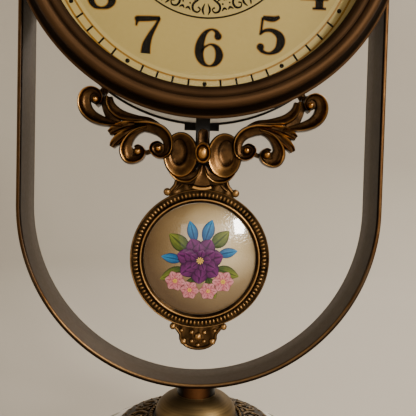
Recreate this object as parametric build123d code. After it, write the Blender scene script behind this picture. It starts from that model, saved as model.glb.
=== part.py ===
from build123d import *
import math
import os

# Desk pendulum clock, in millimetres.
# +Z is up, the dial faces -Y, and the origin is under the middle of the base.
# A depth is a place along Y: a smaller depth is nearer to the person reading the dial.

# Base
FELT_THICKNESS = 2.0
FELT_INSET = 1.5
CERAMIC_TOP = 56.0
CERAMIC_WALL = 5.0
CROWN_RADIUS = 116.0
SHOULDER_RADIUS = 62.0
SHOULDER_BEND = 26.0
PLATE_RADIUS = 43.0
PLATE_THICKNESS = 1.2
PLATE_SCALLOPS = 40
SCALLOP_RADIUS = 1.6
PLATE_PIERCINGS = 20
PIERCING_RADIUS = 2.4
PIERCING_EDGE = 6.0
DOME_RADIUS = 22.0
DOME_SKIRT = 0.5
DOME_BEND = 10.7
DOME_WALL = 1.2
NECK_RADIUS = 10.4
NECK_HEIGHT = 6.4
TIE_RADIUS = 3.0
TIE_CLEARANCE = 0.3
TIE_GRIP = 5.0
TIE_TAIL = 2.0
BASE_WASHER_RADIUS = 14.0
BASE_WASHER_THICKNESS = 1.5
BASE_NUT_WIDTH = 10.0
BASE_NUT_HEIGHT = 5.0

# Loop of flat band that carries the head
FRAME_WIDTH = 190.0
FRAME_DEPTH = 25.0
FRAME_THICKNESS = 2.5
FRAME_EDGE_ROUND = 0.8
FRAME_SCREW_ANGLES = (15.0, 65.0, 115.0, 165.0)

# Head
DRUM_WALL = 1.2
DRUM_FRONT = -25.5
BEZEL_OVERHANG = 3.7
RIM_THICKNESS = 2.4
RIM_WIDTH = 0.8
COVE_RADIUS = 3.3
TORUS_RADIUS = 2.8
GROOVE_WIDTH = 0.4
GROOVE_STEP = 0.7
BEAD_WIDTH = 2.4
BEAD_HEIGHT = 1.0
LIP_WIDTH = 2.4
LIP_DROP = 1.7
LIP_THICKNESS = 1.7
SKIRT_WALL = 2.4
SKIRT_TAIL = 1.2
GLASS_THICKNESS = 2.0
DIAL_RECESS = 9.0
DIAL_THICKNESS = 0.8
SPACER_SET_BACK = 2.0
RETAINER_THICKNESS = 1.8
RETAINER_WIDTH = 5.0
SNAP_DEPTH = 0.8
BEZEL_SCREW_ANGLES = (40.0, 140.0, 220.0, 320.0)
COVER_OVERHANG = 1.2
COVER_THICKNESS = 2.0
COVER_LIP = 6.0
COVER_LIP_WALL = 2.4
COVER_SCREW_ANGLES = (40.0, 140.0, 220.0, 320.0)
TAB_WIDTH = 20.0
TAB_DROP = 3.0
WINDOW_WIDTH = 76.0
DOOR_OVERLAP = 4.0
DOOR_THICKNESS = 2.0
DOOR_GAP = 0.1
DOOR_KNOB_RADIUS = 4.0
DOOR_KNOB_LENGTH = 6.0
DOOR_KNOB_INSET = 9.0
HINGE_PIN_RADIUS = 0.8
KNUCKLE_RADIUS = 2.0
KNUCKLE_LENGTH = 20.0
KNUCKLE_CLEARANCE = 0.2
BATTERY_CLEARANCE = 1.7

# Small screws that fasten the sheet parts radially
SCREW_RADIUS = 1.25
SCREW_HEAD_RADIUS = 2.2
SCREW_HEAD_HEIGHT = 1.2
SCREW_BITE = 4.0
NUT_WIDTH = 5.0
NUT_HEIGHT = 2.0

# Fits
DRUM_FIT = 0.1
SLIDE_FIT = 0.3
SEAT_GAP = 0.05
RUNNING_FIT = 0.06
SHAKE = 0.3

# Movement: layers are measured backward from the rear face of the dial
CASE_CLEARANCE = 2.4
SWING_BOX_WIDTH = 40.0
SWING_BOX_DROP = 34.0
SHELL_WALL = 1.5
SHELL_SPLIT = 14.0
BUSH_RADIUS = 4.0
BUSH_REACH = 3.0
CENTER_WASHER_RADIUS = 6.5
CENTER_WASHER_THICKNESS = 0.4
CENTER_NUT_WIDTH = 11.0
CENTER_NUT_HEIGHT = 1.4
SECONDS_ARBOR_RADIUS = 0.95
MINUTE_TUBE_RADIUS = 2.17
HOUR_TUBE_RADIUS = 3.0
HAND_THICKNESS = 0.6
HAND_STEP = 1.6
HUB_TAIL = 0.3
TRAIN_DISTANCE = 15.0
MOTION_DISTANCE = 15.5
FAST_MODULE = 0.4
CENTER_TEETH = 64
THIRD_PINION_TEETH = 8
THIRD_TEETH = 60
SECONDS_PINION_TEETH = 8
SECONDS_TEETH = 48
INTERMEDIATE_PINION_TEETH = 8
INTERMEDIATE_TEETH = 40
ROTOR_PINION_TEETH = 8
CANNON_TEETH = 12
MINUTE_WHEEL_TEETH = 36
MINUTE_PINION_TEETH = 10
HOUR_TEETH = 40
TOOTH_ADDENDUM = 0.6
TOOTH_DEDENDUM = 1.0
TOOTH_SHARE = 0.36
PRESSURE_ANGLE = 25.0
WHEEL_THICKNESS = 1.0
PINION_OVERHANG = 0.2
HOUR_WHEEL_THICKNESS = 1.4
LAYER_GAP = 1.0
BRIDGE_THICKNESS = 0.8
THIRD_BEARING = 135.0
MOTION_BEARING = 225.0
INTERMEDIATE_BEARING = 0.0
ROTOR_BEARING = -50.0
ARBOR_RADIUS = 0.9
SETTING_ARBOR_RADIUS = 1.2
PIVOT_RADIUS = 0.5
POST_RADIUS = 2.0
POST_INSET = 4.5
ROTOR_MAGNET_RADIUS = 2.5
ROTOR_MAGNET_THICKNESS = 2.0
STATOR_GAP = 0.6
STATOR_MARGIN = 4.0
STATOR_THICKNESS = 1.2
COIL_LENGTH = 14.0
COIL_WIDTH = 5.6
BOARD_WIDTH = 22.0
BOARD_HEIGHT = 13.0
BOARD_THICKNESS = 1.0
BOARD_INSET = 1.0
CRYSTAL_RADIUS = 1.0
CRYSTAL_LENGTH = 6.0
BATTERY_RADIUS = 7.25
BATTERY_LENGTH = 49.0
BATTERY_NUB_RADIUS = 2.7
BATTERY_NUB_LENGTH = 1.0
CONTACT_THICKNESS = 0.4
CONTACT_WIDTH = 9.0
BAY_WALL = 1.0
KNOB_RADIUS = 6.0
KNOB_LENGTH = 5.0

# Hands, set at ten past ten
HOUR_HAND_LENGTH = 46.0
HOUR_HAND_WIDTH = 3.0
HOUR_LEAF_WIDTH = 9.0
MINUTE_HAND_LENGTH = 68.0
MINUTE_HAND_WIDTH = 2.6
MINUTE_LEAF_WIDTH = 7.0
SECOND_HAND_LENGTH = 70.0
SECOND_HAND_WIDTH = 1.2
SECOND_HAND_TAIL = 20.0
LEAF_START = 0.55
LEAF_MIDDLE = 0.68
LEAF_END = 0.85
HAND_HUB_RADIUS = 5.0
HOUR_HAND_ANGLE = 305.0
MINUTE_HAND_ANGLE = 60.0
SECOND_HAND_ANGLE = 0.0

# Scroll casting under the head: places are x from its middle and height from the drum's lowest point
SCROLL_THICKNESS = 4.5
SCROLL_CLEARANCE = 0.6
SCROLL_STUD_ANGLE = 32.0
SCROLL_STUD_RADIUS = 2.2
SCROLL_LUG_TAIL = 0.6
CURL_EYE = (54.6, 4.2)
CURL_RADIUS = 8.0
SCROLL_ELBOW = (46.0, -5.6)
ELBOW_RADIUS = 5.0
SCROLL_KNOT = (39.0, -10.1)
KNOT_RADIUS = 5.5
SCROLL_ARCH = (30.0, -11.6)
ARCH_RADIUS = 7.0
INNER_EYE = (22.4, -17.5)
INNER_RADIUS = 8.0
LOWER_EYE = (32.8, -20.0)
LOWER_RADIUS = 7.2
LEAF_TIPS = ((46.4, -11.8), (44.4, -18.6), (41.6, -21.4))
LEAF_ROOT_RADIUS = 3.5
LEAF_TIP_RADIUS = 1.5
BRANCH_ROOT = (38.0, -7.1)
BRANCH_ROOT_RADIUS = 3.0
BRANCH_TIP = (43.6, 0.8)
BRANCH_TIP_RADIUS = 1.6
EYE_BALL_RADIUS = 2.2
SHELL_CENTER = (11.7, -20.1)
SHELL_RADII = (8.6, 11.6)
CRESCENT_CENTER = (9.5, -28.5)
CRESCENT_RADII = (9.0, 7.3)
BOSS_DROP = 19.9
BOSS_RADIUS = 4.2
TONGUE_DROP = 38.4
TONGUE_HALF_WIDTH = 4.5
STEM_TOP_DROP = 7.5
STEM_HALF_WIDTH = 4.0
SCROLL_HOLE = (28.0, -13.4)
SCROLL_HOLE_RADIUS = 2.6

# Pendulum
PIVOT_INSET = 6.0
PIVOT_PIN_RADIUS = 1.0
PIVOT_BOSS_RADIUS = 2.5
SWING_LIMIT = 5.0
SWING_CLEARANCE = 1.2
HANGER_FRONT_LAYER = 5.0
HANGER_THICKNESS = 3.0
HANGER_HALF_WIDTH = 3.0
HANGER_HUB_RADIUS = 3.6
HANGER_TAIL = 5.0
PEG_RADIUS = 1.5
PEG_BELOW_BOX = 7.0
PEG_TAIL = 0.7
ROD_WIDTH = 7.4
ROD_THICKNESS = 2.5
ROD_ABOVE_PEG = 4.0
MAGNET_RADIUS = 3.0
MAGNET_THICKNESS = 1.0
MAGNET_ABOVE_FLOOR = 8.6
SWING_COIL_RADIUS = 6.0
SWING_COIL_LENGTH = 6.0
SWING_COIL_GAP = 0.6
COIL_CORE_RADIUS = 2.0
MEDALLION_HANG = 74.3
FINIAL_CLEARANCE = 17.4
MEDALLION_RADIUS = 36.3
MEDALLION_RING_DEPTH = 3.9
RING_RIM = 1.7
BEAD_CHANNEL = 2.6
BEAD_RADIUS = 0.8
NOSE_WIDTH = 2.8
SEAT_LEDGE = 1.8
PORCELAIN_RISE = 4.0
RING_NOSE = 1.3
RING_LIP = 1.1
CROWN_HALF_WIDTH = 18.2
CROWN_EAR_DROP = 1.8
CROWN_HEIGHT = 9.0
CROWN_TOP_HALF_WIDTH = 8.0
CROWN_BALL_RADIUS = 2.1
FINIAL_HALF_WIDTH = 13.2
FINIAL_EAR_RISE = 0.5
FINIAL_LENGTH = 10.9
FINIAL_SIDE = (6.9, 7.6)
FINIAL_BALL_RADIUS = 2.0
FINIAL_TIP_RADIUS = 1.6
BACK_PLATE_INSET = 1.8
BACK_PLATE_THICKNESS = 1.0
SMALL_SCREW_RADIUS = 0.8
SMALL_SCREW_HEAD_RADIUS = 1.5
SMALL_SCREW_HEAD_HEIGHT = 0.8
SMALL_SCREW_LENGTH = 2.4
SMALL_SCREW_ANGLES = (45.0, 135.0, 225.0, 315.0)
ROD_SCREW_OFFSETS = (2.3, 6.1)

# Places that follow from the sizes above
CROWN_CENTER = CERAMIC_TOP - CROWN_RADIUS
PLATE_OUTER_RADIUS = CROWN_RADIUS + SEAT_GAP + PLATE_THICKNESS
DOME_BORE = DOME_RADIUS - DOME_WALL
DOME_FOOT = CROWN_CENTER + math.sqrt(PLATE_OUTER_RADIUS ** 2 - DOME_BORE ** 2) + SEAT_GAP
DOME_TOP = DOME_FOOT + DOME_SKIRT + DOME_BEND
FRAME_BOTTOM = DOME_TOP + NECK_HEIGHT
FRAME_RADIUS = FRAME_WIDTH / 2
FRAME_FRONT = -FRAME_DEPTH / 2
FRAME_BORE = FRAME_RADIUS - FRAME_THICKNESS
DRUM_RADIUS = FRAME_BORE - DRUM_FIT
DRUM_BORE = DRUM_RADIUS - DRUM_WALL
FINIAL_END = MEDALLION_RADIUS + FINIAL_LENGTH + FINIAL_TIP_RADIUS
FRAME_STRAIGHT = DRUM_RADIUS + MEDALLION_HANG + FINIAL_END + FINIAL_CLEARANCE - FRAME_BORE
LOWER_CENTER = FRAME_BOTTOM + FRAME_RADIUS
DIAL_HEIGHT = LOWER_CENTER + FRAME_STRAIGHT
DRUM_BOTTOM = DIAL_HEIGHT - DRUM_RADIUS
BEZEL_RADIUS = DRUM_RADIUS + BEZEL_OVERHANG
RIM_FRONT = DRUM_FRONT - RIM_THICKNESS
COVE_OUTER = BEZEL_RADIUS - RIM_WIDTH
COVE_INNER = COVE_OUTER - COVE_RADIUS
TORUS_BASE = RIM_FRONT - COVE_RADIUS
TORUS_INNER = COVE_INNER - 2 * TORUS_RADIUS
BEAD_OUTER = TORUS_INNER - GROOVE_WIDTH
BEAD_INNER = BEAD_OUTER - BEAD_WIDTH
BEAD_BASE = TORUS_BASE - GROOVE_STEP
SIGHT_RADIUS = BEAD_INNER - LIP_WIDTH
LIP_FRONT = BEAD_BASE + LIP_DROP
GLASS_FRONT = LIP_FRONT + LIP_THICKNESS
GLASS_BACK = GLASS_FRONT + GLASS_THICKNESS
DIAL_FRONT = GLASS_BACK + DIAL_RECESS
DIAL_BACK = DIAL_FRONT + DIAL_THICKNESS
RETAINER_BACK = DIAL_BACK + RETAINER_THICKNESS
SKIRT_BACK = RETAINER_BACK + SKIRT_TAIL
SKIRT_OUTER = DRUM_BORE - SLIDE_FIT
SKIRT_BORE = SKIRT_OUTER - SKIRT_WALL
DISC_RADIUS = SKIRT_BORE - SLIDE_FIT
BEZEL_SCREW_DEPTH = (DRUM_FRONT + SKIRT_BACK) / 2
TRAIN_MODULE = 2 * TRAIN_DISTANCE / (CENTER_TEETH + THIRD_PINION_TEETH)
THIRD_MODULE = 2 * TRAIN_DISTANCE / (THIRD_TEETH + SECONDS_PINION_TEETH)
CANNON_MODULE = 2 * MOTION_DISTANCE / (CANNON_TEETH + MINUTE_WHEEL_TEETH)
HOUR_MODULE = 2 * MOTION_DISTANCE / (MINUTE_PINION_TEETH + HOUR_TEETH)
THIRD_TIP = THIRD_MODULE * (THIRD_TEETH / 2 + TOOTH_ADDENDUM)
THIRD_REACH = TRAIN_DISTANCE * abs(math.cos(math.radians(THIRD_BEARING))) + THIRD_TIP
MINUTE_TIP = CANNON_MODULE * (MINUTE_WHEEL_TEETH / 2 + TOOTH_ADDENDUM)
MINUTE_REACH = MOTION_DISTANCE * abs(math.cos(math.radians(MOTION_BEARING))) + MINUTE_TIP
INNER_WIDTH = 2 * (max(THIRD_REACH, MINUTE_REACH) + CASE_CLEARANCE)
CASE_WIDTH = INNER_WIDTH + 2 * SHELL_WALL
HOUR_LAYER = SHELL_WALL + LAYER_GAP
MOTION_LAYER = HOUR_LAYER + HOUR_WHEEL_THICKNESS + LAYER_GAP
CENTER_LAYER = MOTION_LAYER + WHEEL_THICKNESS + LAYER_GAP
THIRD_LAYER = CENTER_LAYER + WHEEL_THICKNESS + LAYER_GAP
BRIDGE_LAYER = THIRD_LAYER + WHEEL_THICKNESS + LAYER_GAP
SECONDS_LAYER = BRIDGE_LAYER + BRIDGE_THICKNESS + LAYER_GAP
INTERMEDIATE_LAYER = SECONDS_LAYER + WHEEL_THICKNESS + LAYER_GAP
ROTOR_LAYER = INTERMEDIATE_LAYER + WHEEL_THICKNESS + LAYER_GAP
REAR_PLATE_LAYER = ROTOR_LAYER + ROTOR_MAGNET_THICKNESS + LAYER_GAP
SHELL_DEPTH = REAR_PLATE_LAYER + SHELL_WALL
SWING_BOX_BOTTOM = CASE_WIDTH / 2 + SWING_BOX_DROP
HOUR_HAND_LAYER = -BUSH_REACH - HAND_STEP + HAND_THICKNESS
MINUTE_HAND_LAYER = HOUR_HAND_LAYER - HAND_STEP
SECOND_HAND_LAYER = MINUTE_HAND_LAYER - HAND_STEP
BATTERY_LAYER = SHELL_DEPTH + BAY_WALL + SEAT_GAP + BATTERY_RADIUS
BATTERY_RISE = CASE_WIDTH / 2 - BAY_WALL - SLIDE_FIT - BATTERY_RADIUS
BAY_LENGTH = BATTERY_LENGTH + BATTERY_NUB_LENGTH + 4 * CONTACT_THICKNESS
COVER_BACK = DIAL_BACK + BATTERY_LAYER + BATTERY_RADIUS + BATTERY_CLEARANCE
DRUM_BACK = COVER_BACK - COVER_THICKNESS
COVER_RADIUS = DRUM_RADIUS + COVER_OVERHANG
COVER_LIP_RADIUS = DRUM_BORE - SLIDE_FIT
COVER_SCREW_DEPTH = DRUM_BACK - COVER_LIP / 2
DOOR_WIDTH = WINDOW_WIDTH + 2 * DOOR_OVERLAP
DOOR_FRONT = COVER_BACK + DOOR_GAP
HINGE_X = -DOOR_WIDTH / 2 - KNUCKLE_RADIUS - KNUCKLE_CLEARANCE
HINGE_DEPTH = COVER_BACK + KNUCKLE_RADIUS + KNUCKLE_CLEARANCE
HANGER_BACK_LAYER = HANGER_FRONT_LAYER + HANGER_THICKNESS
PIVOT_DROP = CASE_WIDTH / 2 + PIVOT_INSET
MAGNET_DROP = SWING_BOX_BOTTOM - MAGNET_ABOVE_FLOOR
PEG_DROP = SWING_BOX_BOTTOM + PEG_BELOW_BOX
ROD_FRONT = DIAL_BACK + HANGER_BACK_LAYER
ROD_BACK = ROD_FRONT + ROD_THICKNESS
SWING_SINE = math.sin(math.radians(SWING_LIMIT))
SLOT_ARM = DRUM_RADIUS - PIVOT_DROP
SLOT_HALF_WIDTH = ROD_WIDTH / 2 + SLOT_ARM * SWING_SINE + SWING_CLEARANCE
MEDALLION_HEIGHT = DRUM_BOTTOM - MEDALLION_HANG
RING_FRONT = ROD_FRONT - MEDALLION_RING_DEPTH
RIM_INNER = MEDALLION_RADIUS - RING_RIM
CHANNEL_INNER = RIM_INNER - BEAD_CHANNEL
PORCELAIN_SIGHT = CHANNEL_INNER - NOSE_WIDTH
PORCELAIN_SEAT = PORCELAIN_SIGHT + SEAT_LEDGE
BACK_PLATE_RADIUS = MEDALLION_RADIUS - BACK_PLATE_INSET
SCROLL_BACK = RING_FRONT - RING_NOSE - SCROLL_CLEARANCE
SCROLL_FRONT = SCROLL_BACK - SCROLL_THICKNESS


def closed_edges(start, *steps):
    """Edges of a closed outline: a point is a straight run, a (middle, end) pair is an arc."""
    edges = []
    here = start
    for step in steps:
        if isinstance(step[0], tuple):
            middle, end = step
            edges.append(ThreePointArc(here, middle, end))
        else:
            end = step
            edges.append(Line(here, end))
        here = end
    edges.append(Line(here, start))
    return edges


def turned_upright(start, *steps):
    """Solid turned about the vertical axis from an outline of (radius, height)."""
    return revolve(Plane.XZ * make_face(closed_edges(start, *steps)), Axis.Z)


def turned_about(height, start, *steps):
    """Solid turned about a level axis at a height from an outline of (radius, depth)."""
    return Pos(0, 0, height) * revolve(make_face(closed_edges(start, *steps)), Axis.Y)


def slab(sketch, front, back):
    """Solid between two depths of a sketch drawn in x and height."""
    plane = Plane(origin=(0, back, 0), x_dir=(1, 0, 0), z_dir=(0, -1, 0))
    return extrude(plane * sketch, amount=back - front)


def pin(radius, front, back, x=0.0, height=0.0):
    """Round bar along the depth."""
    return Pos(x, (front + back) / 2, height) * Rot(90, 0, 0) * Cylinder(radius, back - front)


def tube(outer, inner, front, back, x=0.0, height=0.0):
    """Round tube along the depth."""
    return pin(outer, front, back, x, height) - pin(inner, front, back, x, height)


def upright_bar(radius, bottom, top):
    """Round bar standing on the base's axis."""
    return Pos(0, 0, (bottom + top) / 2) * Cylinder(radius, top - bottom)


def block(x_range, depth_range, height_range):
    """Rectangular block between three pairs of limits."""
    limits = (x_range, depth_range, height_range)
    middle = [(low + high) / 2 for low, high in limits]
    size = [high - low for low, high in limits]
    return Pos(*middle) * Box(*size)


def polygon(*points):
    """Flat face with straight sides."""
    return make_face(Polyline(*points, close=True))


def on_dial(angle, piece):
    """Piece drawn along +X, turned to an angle round the dial's axis."""
    return Pos(0, 0, DIAL_HEIGHT) * Rot(0, -angle, 0) * piece


def spoke(radius, inner, outer, depth):
    """Round bar along +X from one distance to another."""
    return Pos((inner + outer) / 2, depth, 0) * Rot(0, 90, 0) * Cylinder(radius, outer - inner)


def hexagon_spoke(width, inner, outer, depth, hole):
    """Hexagon nut along +X with a round hole."""
    nut = extrude(Plane.YZ * RegularPolygon(width / 2, 6, major_radius=False), amount=outer - inner)
    return Pos(inner, depth, 0) * nut - spoke(hole, inner, outer, depth)


def layer(distance):
    """Depth of a layer measured backward from the rear of the dial."""
    return DIAL_BACK + distance


def crown_height(radius, offset=0.0):
    """Height of the ceramic's spherical top, or of a surface lying outside it."""
    return CROWN_CENTER + math.sqrt((CROWN_RADIUS + offset) ** 2 - radius ** 2)


# Ceramic foot with its fastenings


def ceramic_profile(offset):
    """Arcs of the foot's wall, from the tie hole to the straight side, moved in by an offset."""
    hole = TIE_RADIUS + TIE_CLEARANCE
    lean = math.asin(SHOULDER_RADIUS / CROWN_RADIUS)
    bend_x = SHOULDER_RADIUS - SHOULDER_BEND * math.sin(lean)
    bend_z = crown_height(SHOULDER_RADIUS) - SHOULDER_BEND * math.cos(lean)
    crown = CROWN_RADIUS - offset
    bend = SHOULDER_BEND - offset
    half_lean = (lean + math.asin(hole / crown)) / 2
    half_bend = (lean + math.pi / 2) / 2
    start = (hole, crown_height(hole, -offset))
    crown_middle = (crown * math.sin(half_lean), CROWN_CENTER + crown * math.cos(half_lean))
    shoulder = (crown * math.sin(lean), CROWN_CENTER + crown * math.cos(lean))
    bend_middle = (bend_x + bend * math.sin(half_bend), bend_z + bend * math.cos(half_bend))
    side = (bend_x + bend, bend_z)
    return start, crown_middle, shoulder, bend_middle, side


def make_ceramic_base():
    top, outer_middle, shoulder, outer_bend, side = ceramic_profile(0.0)
    low, inner_middle, inner_shoulder, inner_bend, inner_side = ceramic_profile(CERAMIC_WALL)
    return turned_upright(
        top,
        (outer_middle, shoulder),
        (outer_bend, side),
        (side[0], FELT_THICKNESS),
        (inner_side[0], FELT_THICKNESS),
        inner_side,
        (inner_bend, inner_shoulder),
        (inner_middle, low),
    )


def make_base_felt():
    radius = ceramic_profile(0.0)[4][0] - FELT_INSET
    return upright_bar(radius, 0.0, FELT_THICKNESS)


def make_filigree_plate():
    """Pierced cap with a scalloped edge, lying on the ceramic."""
    hole = TIE_RADIUS + TIE_CLEARANCE
    half = PLATE_RADIUS / 2
    low = SEAT_GAP
    high = SEAT_GAP + PLATE_THICKNESS
    plate = turned_upright(
        (hole, crown_height(hole, low)),
        ((half, crown_height(half, low)), (PLATE_RADIUS, crown_height(PLATE_RADIUS, low))),
        (PLATE_RADIUS, crown_height(PLATE_RADIUS, high)),
        ((half, crown_height(half, high)), (hole, crown_height(hole, high))),
    )
    height = CROWN_RADIUS / 2
    for index in range(PLATE_SCALLOPS):
        turn = 360.0 * index / PLATE_SCALLOPS
        plate -= Rot(0, 0, turn) * Pos(PLATE_RADIUS, 0, CERAMIC_TOP) * Cylinder(SCALLOP_RADIUS, height)
    circle = (PLATE_RADIUS - PIERCING_EDGE + DOME_RADIUS + PIERCING_RADIUS) / 2
    for index in range(PLATE_PIERCINGS):
        turn = 360.0 * index / PLATE_PIERCINGS
        plate -= Rot(0, 0, turn) * Pos(circle, 0, CERAMIC_TOP) * Cylinder(PIERCING_RADIUS, height)
    return plate


def make_base_dome():
    """Spun dome that stands on the plate and carries the neck."""
    hole = TIE_RADIUS + TIE_CLEARANCE
    flat = DOME_RADIUS - DOME_BEND
    spring = DOME_TOP - DOME_BEND
    inner_bend = DOME_BEND - DOME_WALL
    slant = math.cos(math.pi / 4)
    return turned_upright(
        (DOME_RADIUS, DOME_FOOT),
        (DOME_RADIUS, spring),
        ((flat + DOME_BEND * slant, spring + DOME_BEND * slant), (flat, DOME_TOP)),
        (hole, DOME_TOP),
        (hole, DOME_TOP - DOME_WALL),
        (flat, DOME_TOP - DOME_WALL),
        ((flat + inner_bend * slant, spring + inner_bend * slant), (DOME_BORE, spring)),
        (DOME_BORE, DOME_FOOT),
    )


def make_neck_collar():
    """Turned neck with a saddle for the loop and a blind thread for the tie bolt."""
    saddle = FRAME_RADIUS - math.sqrt(FRAME_RADIUS ** 2 - NECK_RADIUS ** 2)
    neck = upright_bar(NECK_RADIUS, DOME_TOP, FRAME_BOTTOM + saddle)
    neck -= pin(FRAME_RADIUS + SEAT_GAP, -FRAME_WIDTH / 2, FRAME_WIDTH / 2, 0.0, LOWER_CENTER)
    return neck - upright_bar(TIE_RADIUS + SEAT_GAP, DOME_TOP, DOME_TOP + TIE_GRIP + SEAT_GAP)


def washer_top():
    """Height at which the base washer meets the hollow of the ceramic."""
    return crown_height(BASE_WASHER_RADIUS, -CERAMIC_WALL) - SEAT_GAP


def make_tie_bolt():
    bottom = washer_top() - BASE_WASHER_THICKNESS - BASE_NUT_HEIGHT - TIE_TAIL
    return upright_bar(TIE_RADIUS, bottom, DOME_TOP + TIE_GRIP)


def make_base_washer():
    top = washer_top()
    bottom = top - BASE_WASHER_THICKNESS
    return upright_bar(BASE_WASHER_RADIUS, bottom, top) - upright_bar(TIE_RADIUS + SEAT_GAP, bottom, top)


def make_base_nut():
    top = washer_top() - BASE_WASHER_THICKNESS
    bottom = top - BASE_NUT_HEIGHT
    nut = extrude(RegularPolygon(BASE_NUT_WIDTH / 2, 6, major_radius=False), amount=BASE_NUT_HEIGHT)
    return Pos(0, 0, bottom) * nut - upright_bar(TIE_RADIUS + SEAT_GAP, bottom, top)


# Loop and its screws


def make_frame_band():
    middle = (LOWER_CENTER + DIAL_HEIGHT) / 2
    outer = SlotCenterToCenter(FRAME_STRAIGHT, FRAME_WIDTH, rotation=90)
    inner = SlotCenterToCenter(FRAME_STRAIGHT, FRAME_WIDTH - 2 * FRAME_THICKNESS, rotation=90)
    band = slab(Pos(0, middle) * (outer - inner), FRAME_FRONT, -FRAME_FRONT)
    long_edges = band.edges().filter_by_position(Axis.Y, FRAME_FRONT, FRAME_FRONT)
    long_edges += band.edges().filter_by_position(Axis.Y, -FRAME_FRONT, -FRAME_FRONT)
    band = fillet(long_edges, min(FRAME_EDGE_ROUND, FRAME_THICKNESS / 3))
    for angle in FRAME_SCREW_ANGLES:
        band -= on_dial(angle, spoke(SCREW_RADIUS + SEAT_GAP, DRUM_BORE, BEZEL_RADIUS, 0.0))
    return band


def radial_screw(head_side, grip_end, depth):
    """Screw along +X whose head seats at head_side and whose shank ends at grip_end."""
    outward = head_side > grip_end
    head_end = head_side + SCREW_HEAD_HEIGHT if outward else head_side - SCREW_HEAD_HEIGHT
    head = spoke(SCREW_HEAD_RADIUS, min(head_side, head_end), max(head_side, head_end), depth)
    return head + spoke(SCREW_RADIUS, min(head_side, grip_end), max(head_side, grip_end), depth)


def make_frame_screws():
    seat = FRAME_RADIUS + SEAT_GAP
    end = DRUM_BORE - NUT_HEIGHT - SEAT_GAP
    return Compound([on_dial(angle, radial_screw(seat, end, 0.0)).solid() for angle in FRAME_SCREW_ANGLES])


def make_frame_nuts():
    outer = DRUM_BORE - SEAT_GAP * 2
    nut = hexagon_spoke(NUT_WIDTH, outer - NUT_HEIGHT, outer, 0.0, SCREW_RADIUS + SEAT_GAP)
    return Compound([on_dial(angle, nut).solid() for angle in FRAME_SCREW_ANGLES])


# Head


def make_case_drum():
    drum = tube(DRUM_RADIUS, DRUM_BORE, DRUM_FRONT, DRUM_BACK, 0.0, DIAL_HEIGHT)
    hole = SCREW_RADIUS + SEAT_GAP
    groups = (
        (FRAME_SCREW_ANGLES, 0.0),
        (BEZEL_SCREW_ANGLES, BEZEL_SCREW_DEPTH),
        (COVER_SCREW_ANGLES, COVER_SCREW_DEPTH),
        (scroll_stud_angles(), scroll_stud_depth()),
    )
    for angles, depth in groups:
        for angle in angles:
            drum -= on_dial(angle, spoke(hole, SKIRT_BORE, FRAME_RADIUS, depth))
    slot_depths = (ROD_FRONT - SWING_CLEARANCE, ROD_BACK + SWING_CLEARANCE)
    slot_heights = (DIAL_HEIGHT - FRAME_RADIUS, DIAL_HEIGHT - DRUM_RADIUS / 2)
    return drum - block((-SLOT_HALF_WIDTH, SLOT_HALF_WIDTH), slot_depths, slot_heights)


def make_front_bezel():
    """Turned bezel: rim, cove, torus, bead and lip outside, a skirt for the dial stack inside."""
    slant = math.cos(math.pi / 4)
    torus_center = COVE_INNER - TORUS_RADIUS
    bead_center = (BEAD_INNER + BEAD_OUTER) / 2
    snap = SKIRT_BORE + SNAP_DEPTH
    bezel = turned_about(
        DIAL_HEIGHT,
        (BEZEL_RADIUS, DRUM_FRONT),
        (BEZEL_RADIUS, RIM_FRONT),
        (COVE_OUTER, RIM_FRONT),
        ((COVE_OUTER - COVE_RADIUS * slant, TORUS_BASE + COVE_RADIUS * slant), (COVE_INNER, TORUS_BASE)),
        ((torus_center, TORUS_BASE - TORUS_RADIUS), (TORUS_INNER, TORUS_BASE)),
        (BEAD_OUTER, BEAD_BASE),
        ((bead_center, BEAD_BASE - BEAD_HEIGHT), (BEAD_INNER, BEAD_BASE)),
        (SIGHT_RADIUS, LIP_FRONT),
        (SIGHT_RADIUS, GLASS_FRONT),
        (SKIRT_BORE, GLASS_FRONT),
        (SKIRT_BORE, DIAL_BACK),
        (snap, DIAL_BACK),
        (snap, RETAINER_BACK + SEAT_GAP),
        (SKIRT_BORE, RETAINER_BACK + SEAT_GAP),
        (SKIRT_BORE, SKIRT_BACK),
        (SKIRT_OUTER, SKIRT_BACK),
        (SKIRT_OUTER, DRUM_FRONT),
    )
    for angle in BEZEL_SCREW_ANGLES:
        bezel -= on_dial(angle, spoke(SCREW_RADIUS + SEAT_GAP, SKIRT_BORE, DRUM_BORE, BEZEL_SCREW_DEPTH))
    return bezel


def make_glass_lens():
    return pin(DISC_RADIUS, GLASS_FRONT, GLASS_BACK, 0.0, DIAL_HEIGHT)


def make_dial_spacer_ring():
    return tube(DISC_RADIUS, SIGHT_RADIUS + SPACER_SET_BACK, GLASS_BACK, DIAL_FRONT, 0.0, DIAL_HEIGHT)


def make_dial_plate():
    hole = BUSH_RADIUS + SEAT_GAP
    return tube(DISC_RADIUS, hole, DIAL_FRONT, DIAL_BACK, 0.0, DIAL_HEIGHT)


def make_dial_retaining_ring():
    outer = SKIRT_BORE + SNAP_DEPTH - SEAT_GAP
    return tube(outer, outer - RETAINER_WIDTH, DIAL_BACK, RETAINER_BACK, 0.0, DIAL_HEIGHT)


def make_bezel_screws():
    seat = DRUM_RADIUS + SEAT_GAP
    end = SKIRT_BORE + SEAT_GAP
    screw = radial_screw(seat, end, BEZEL_SCREW_DEPTH)
    return Compound([on_dial(angle, screw).solid() for angle in BEZEL_SCREW_ANGLES])


def hinge_bar(radius, low, high):
    """Upright round bar on the hinge's axis, at heights from the dial's centre."""
    middle = DIAL_HEIGHT + (low + high) / 2
    return Pos(HINGE_X, HINGE_DEPTH, middle) * Cylinder(radius, high - low)


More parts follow.
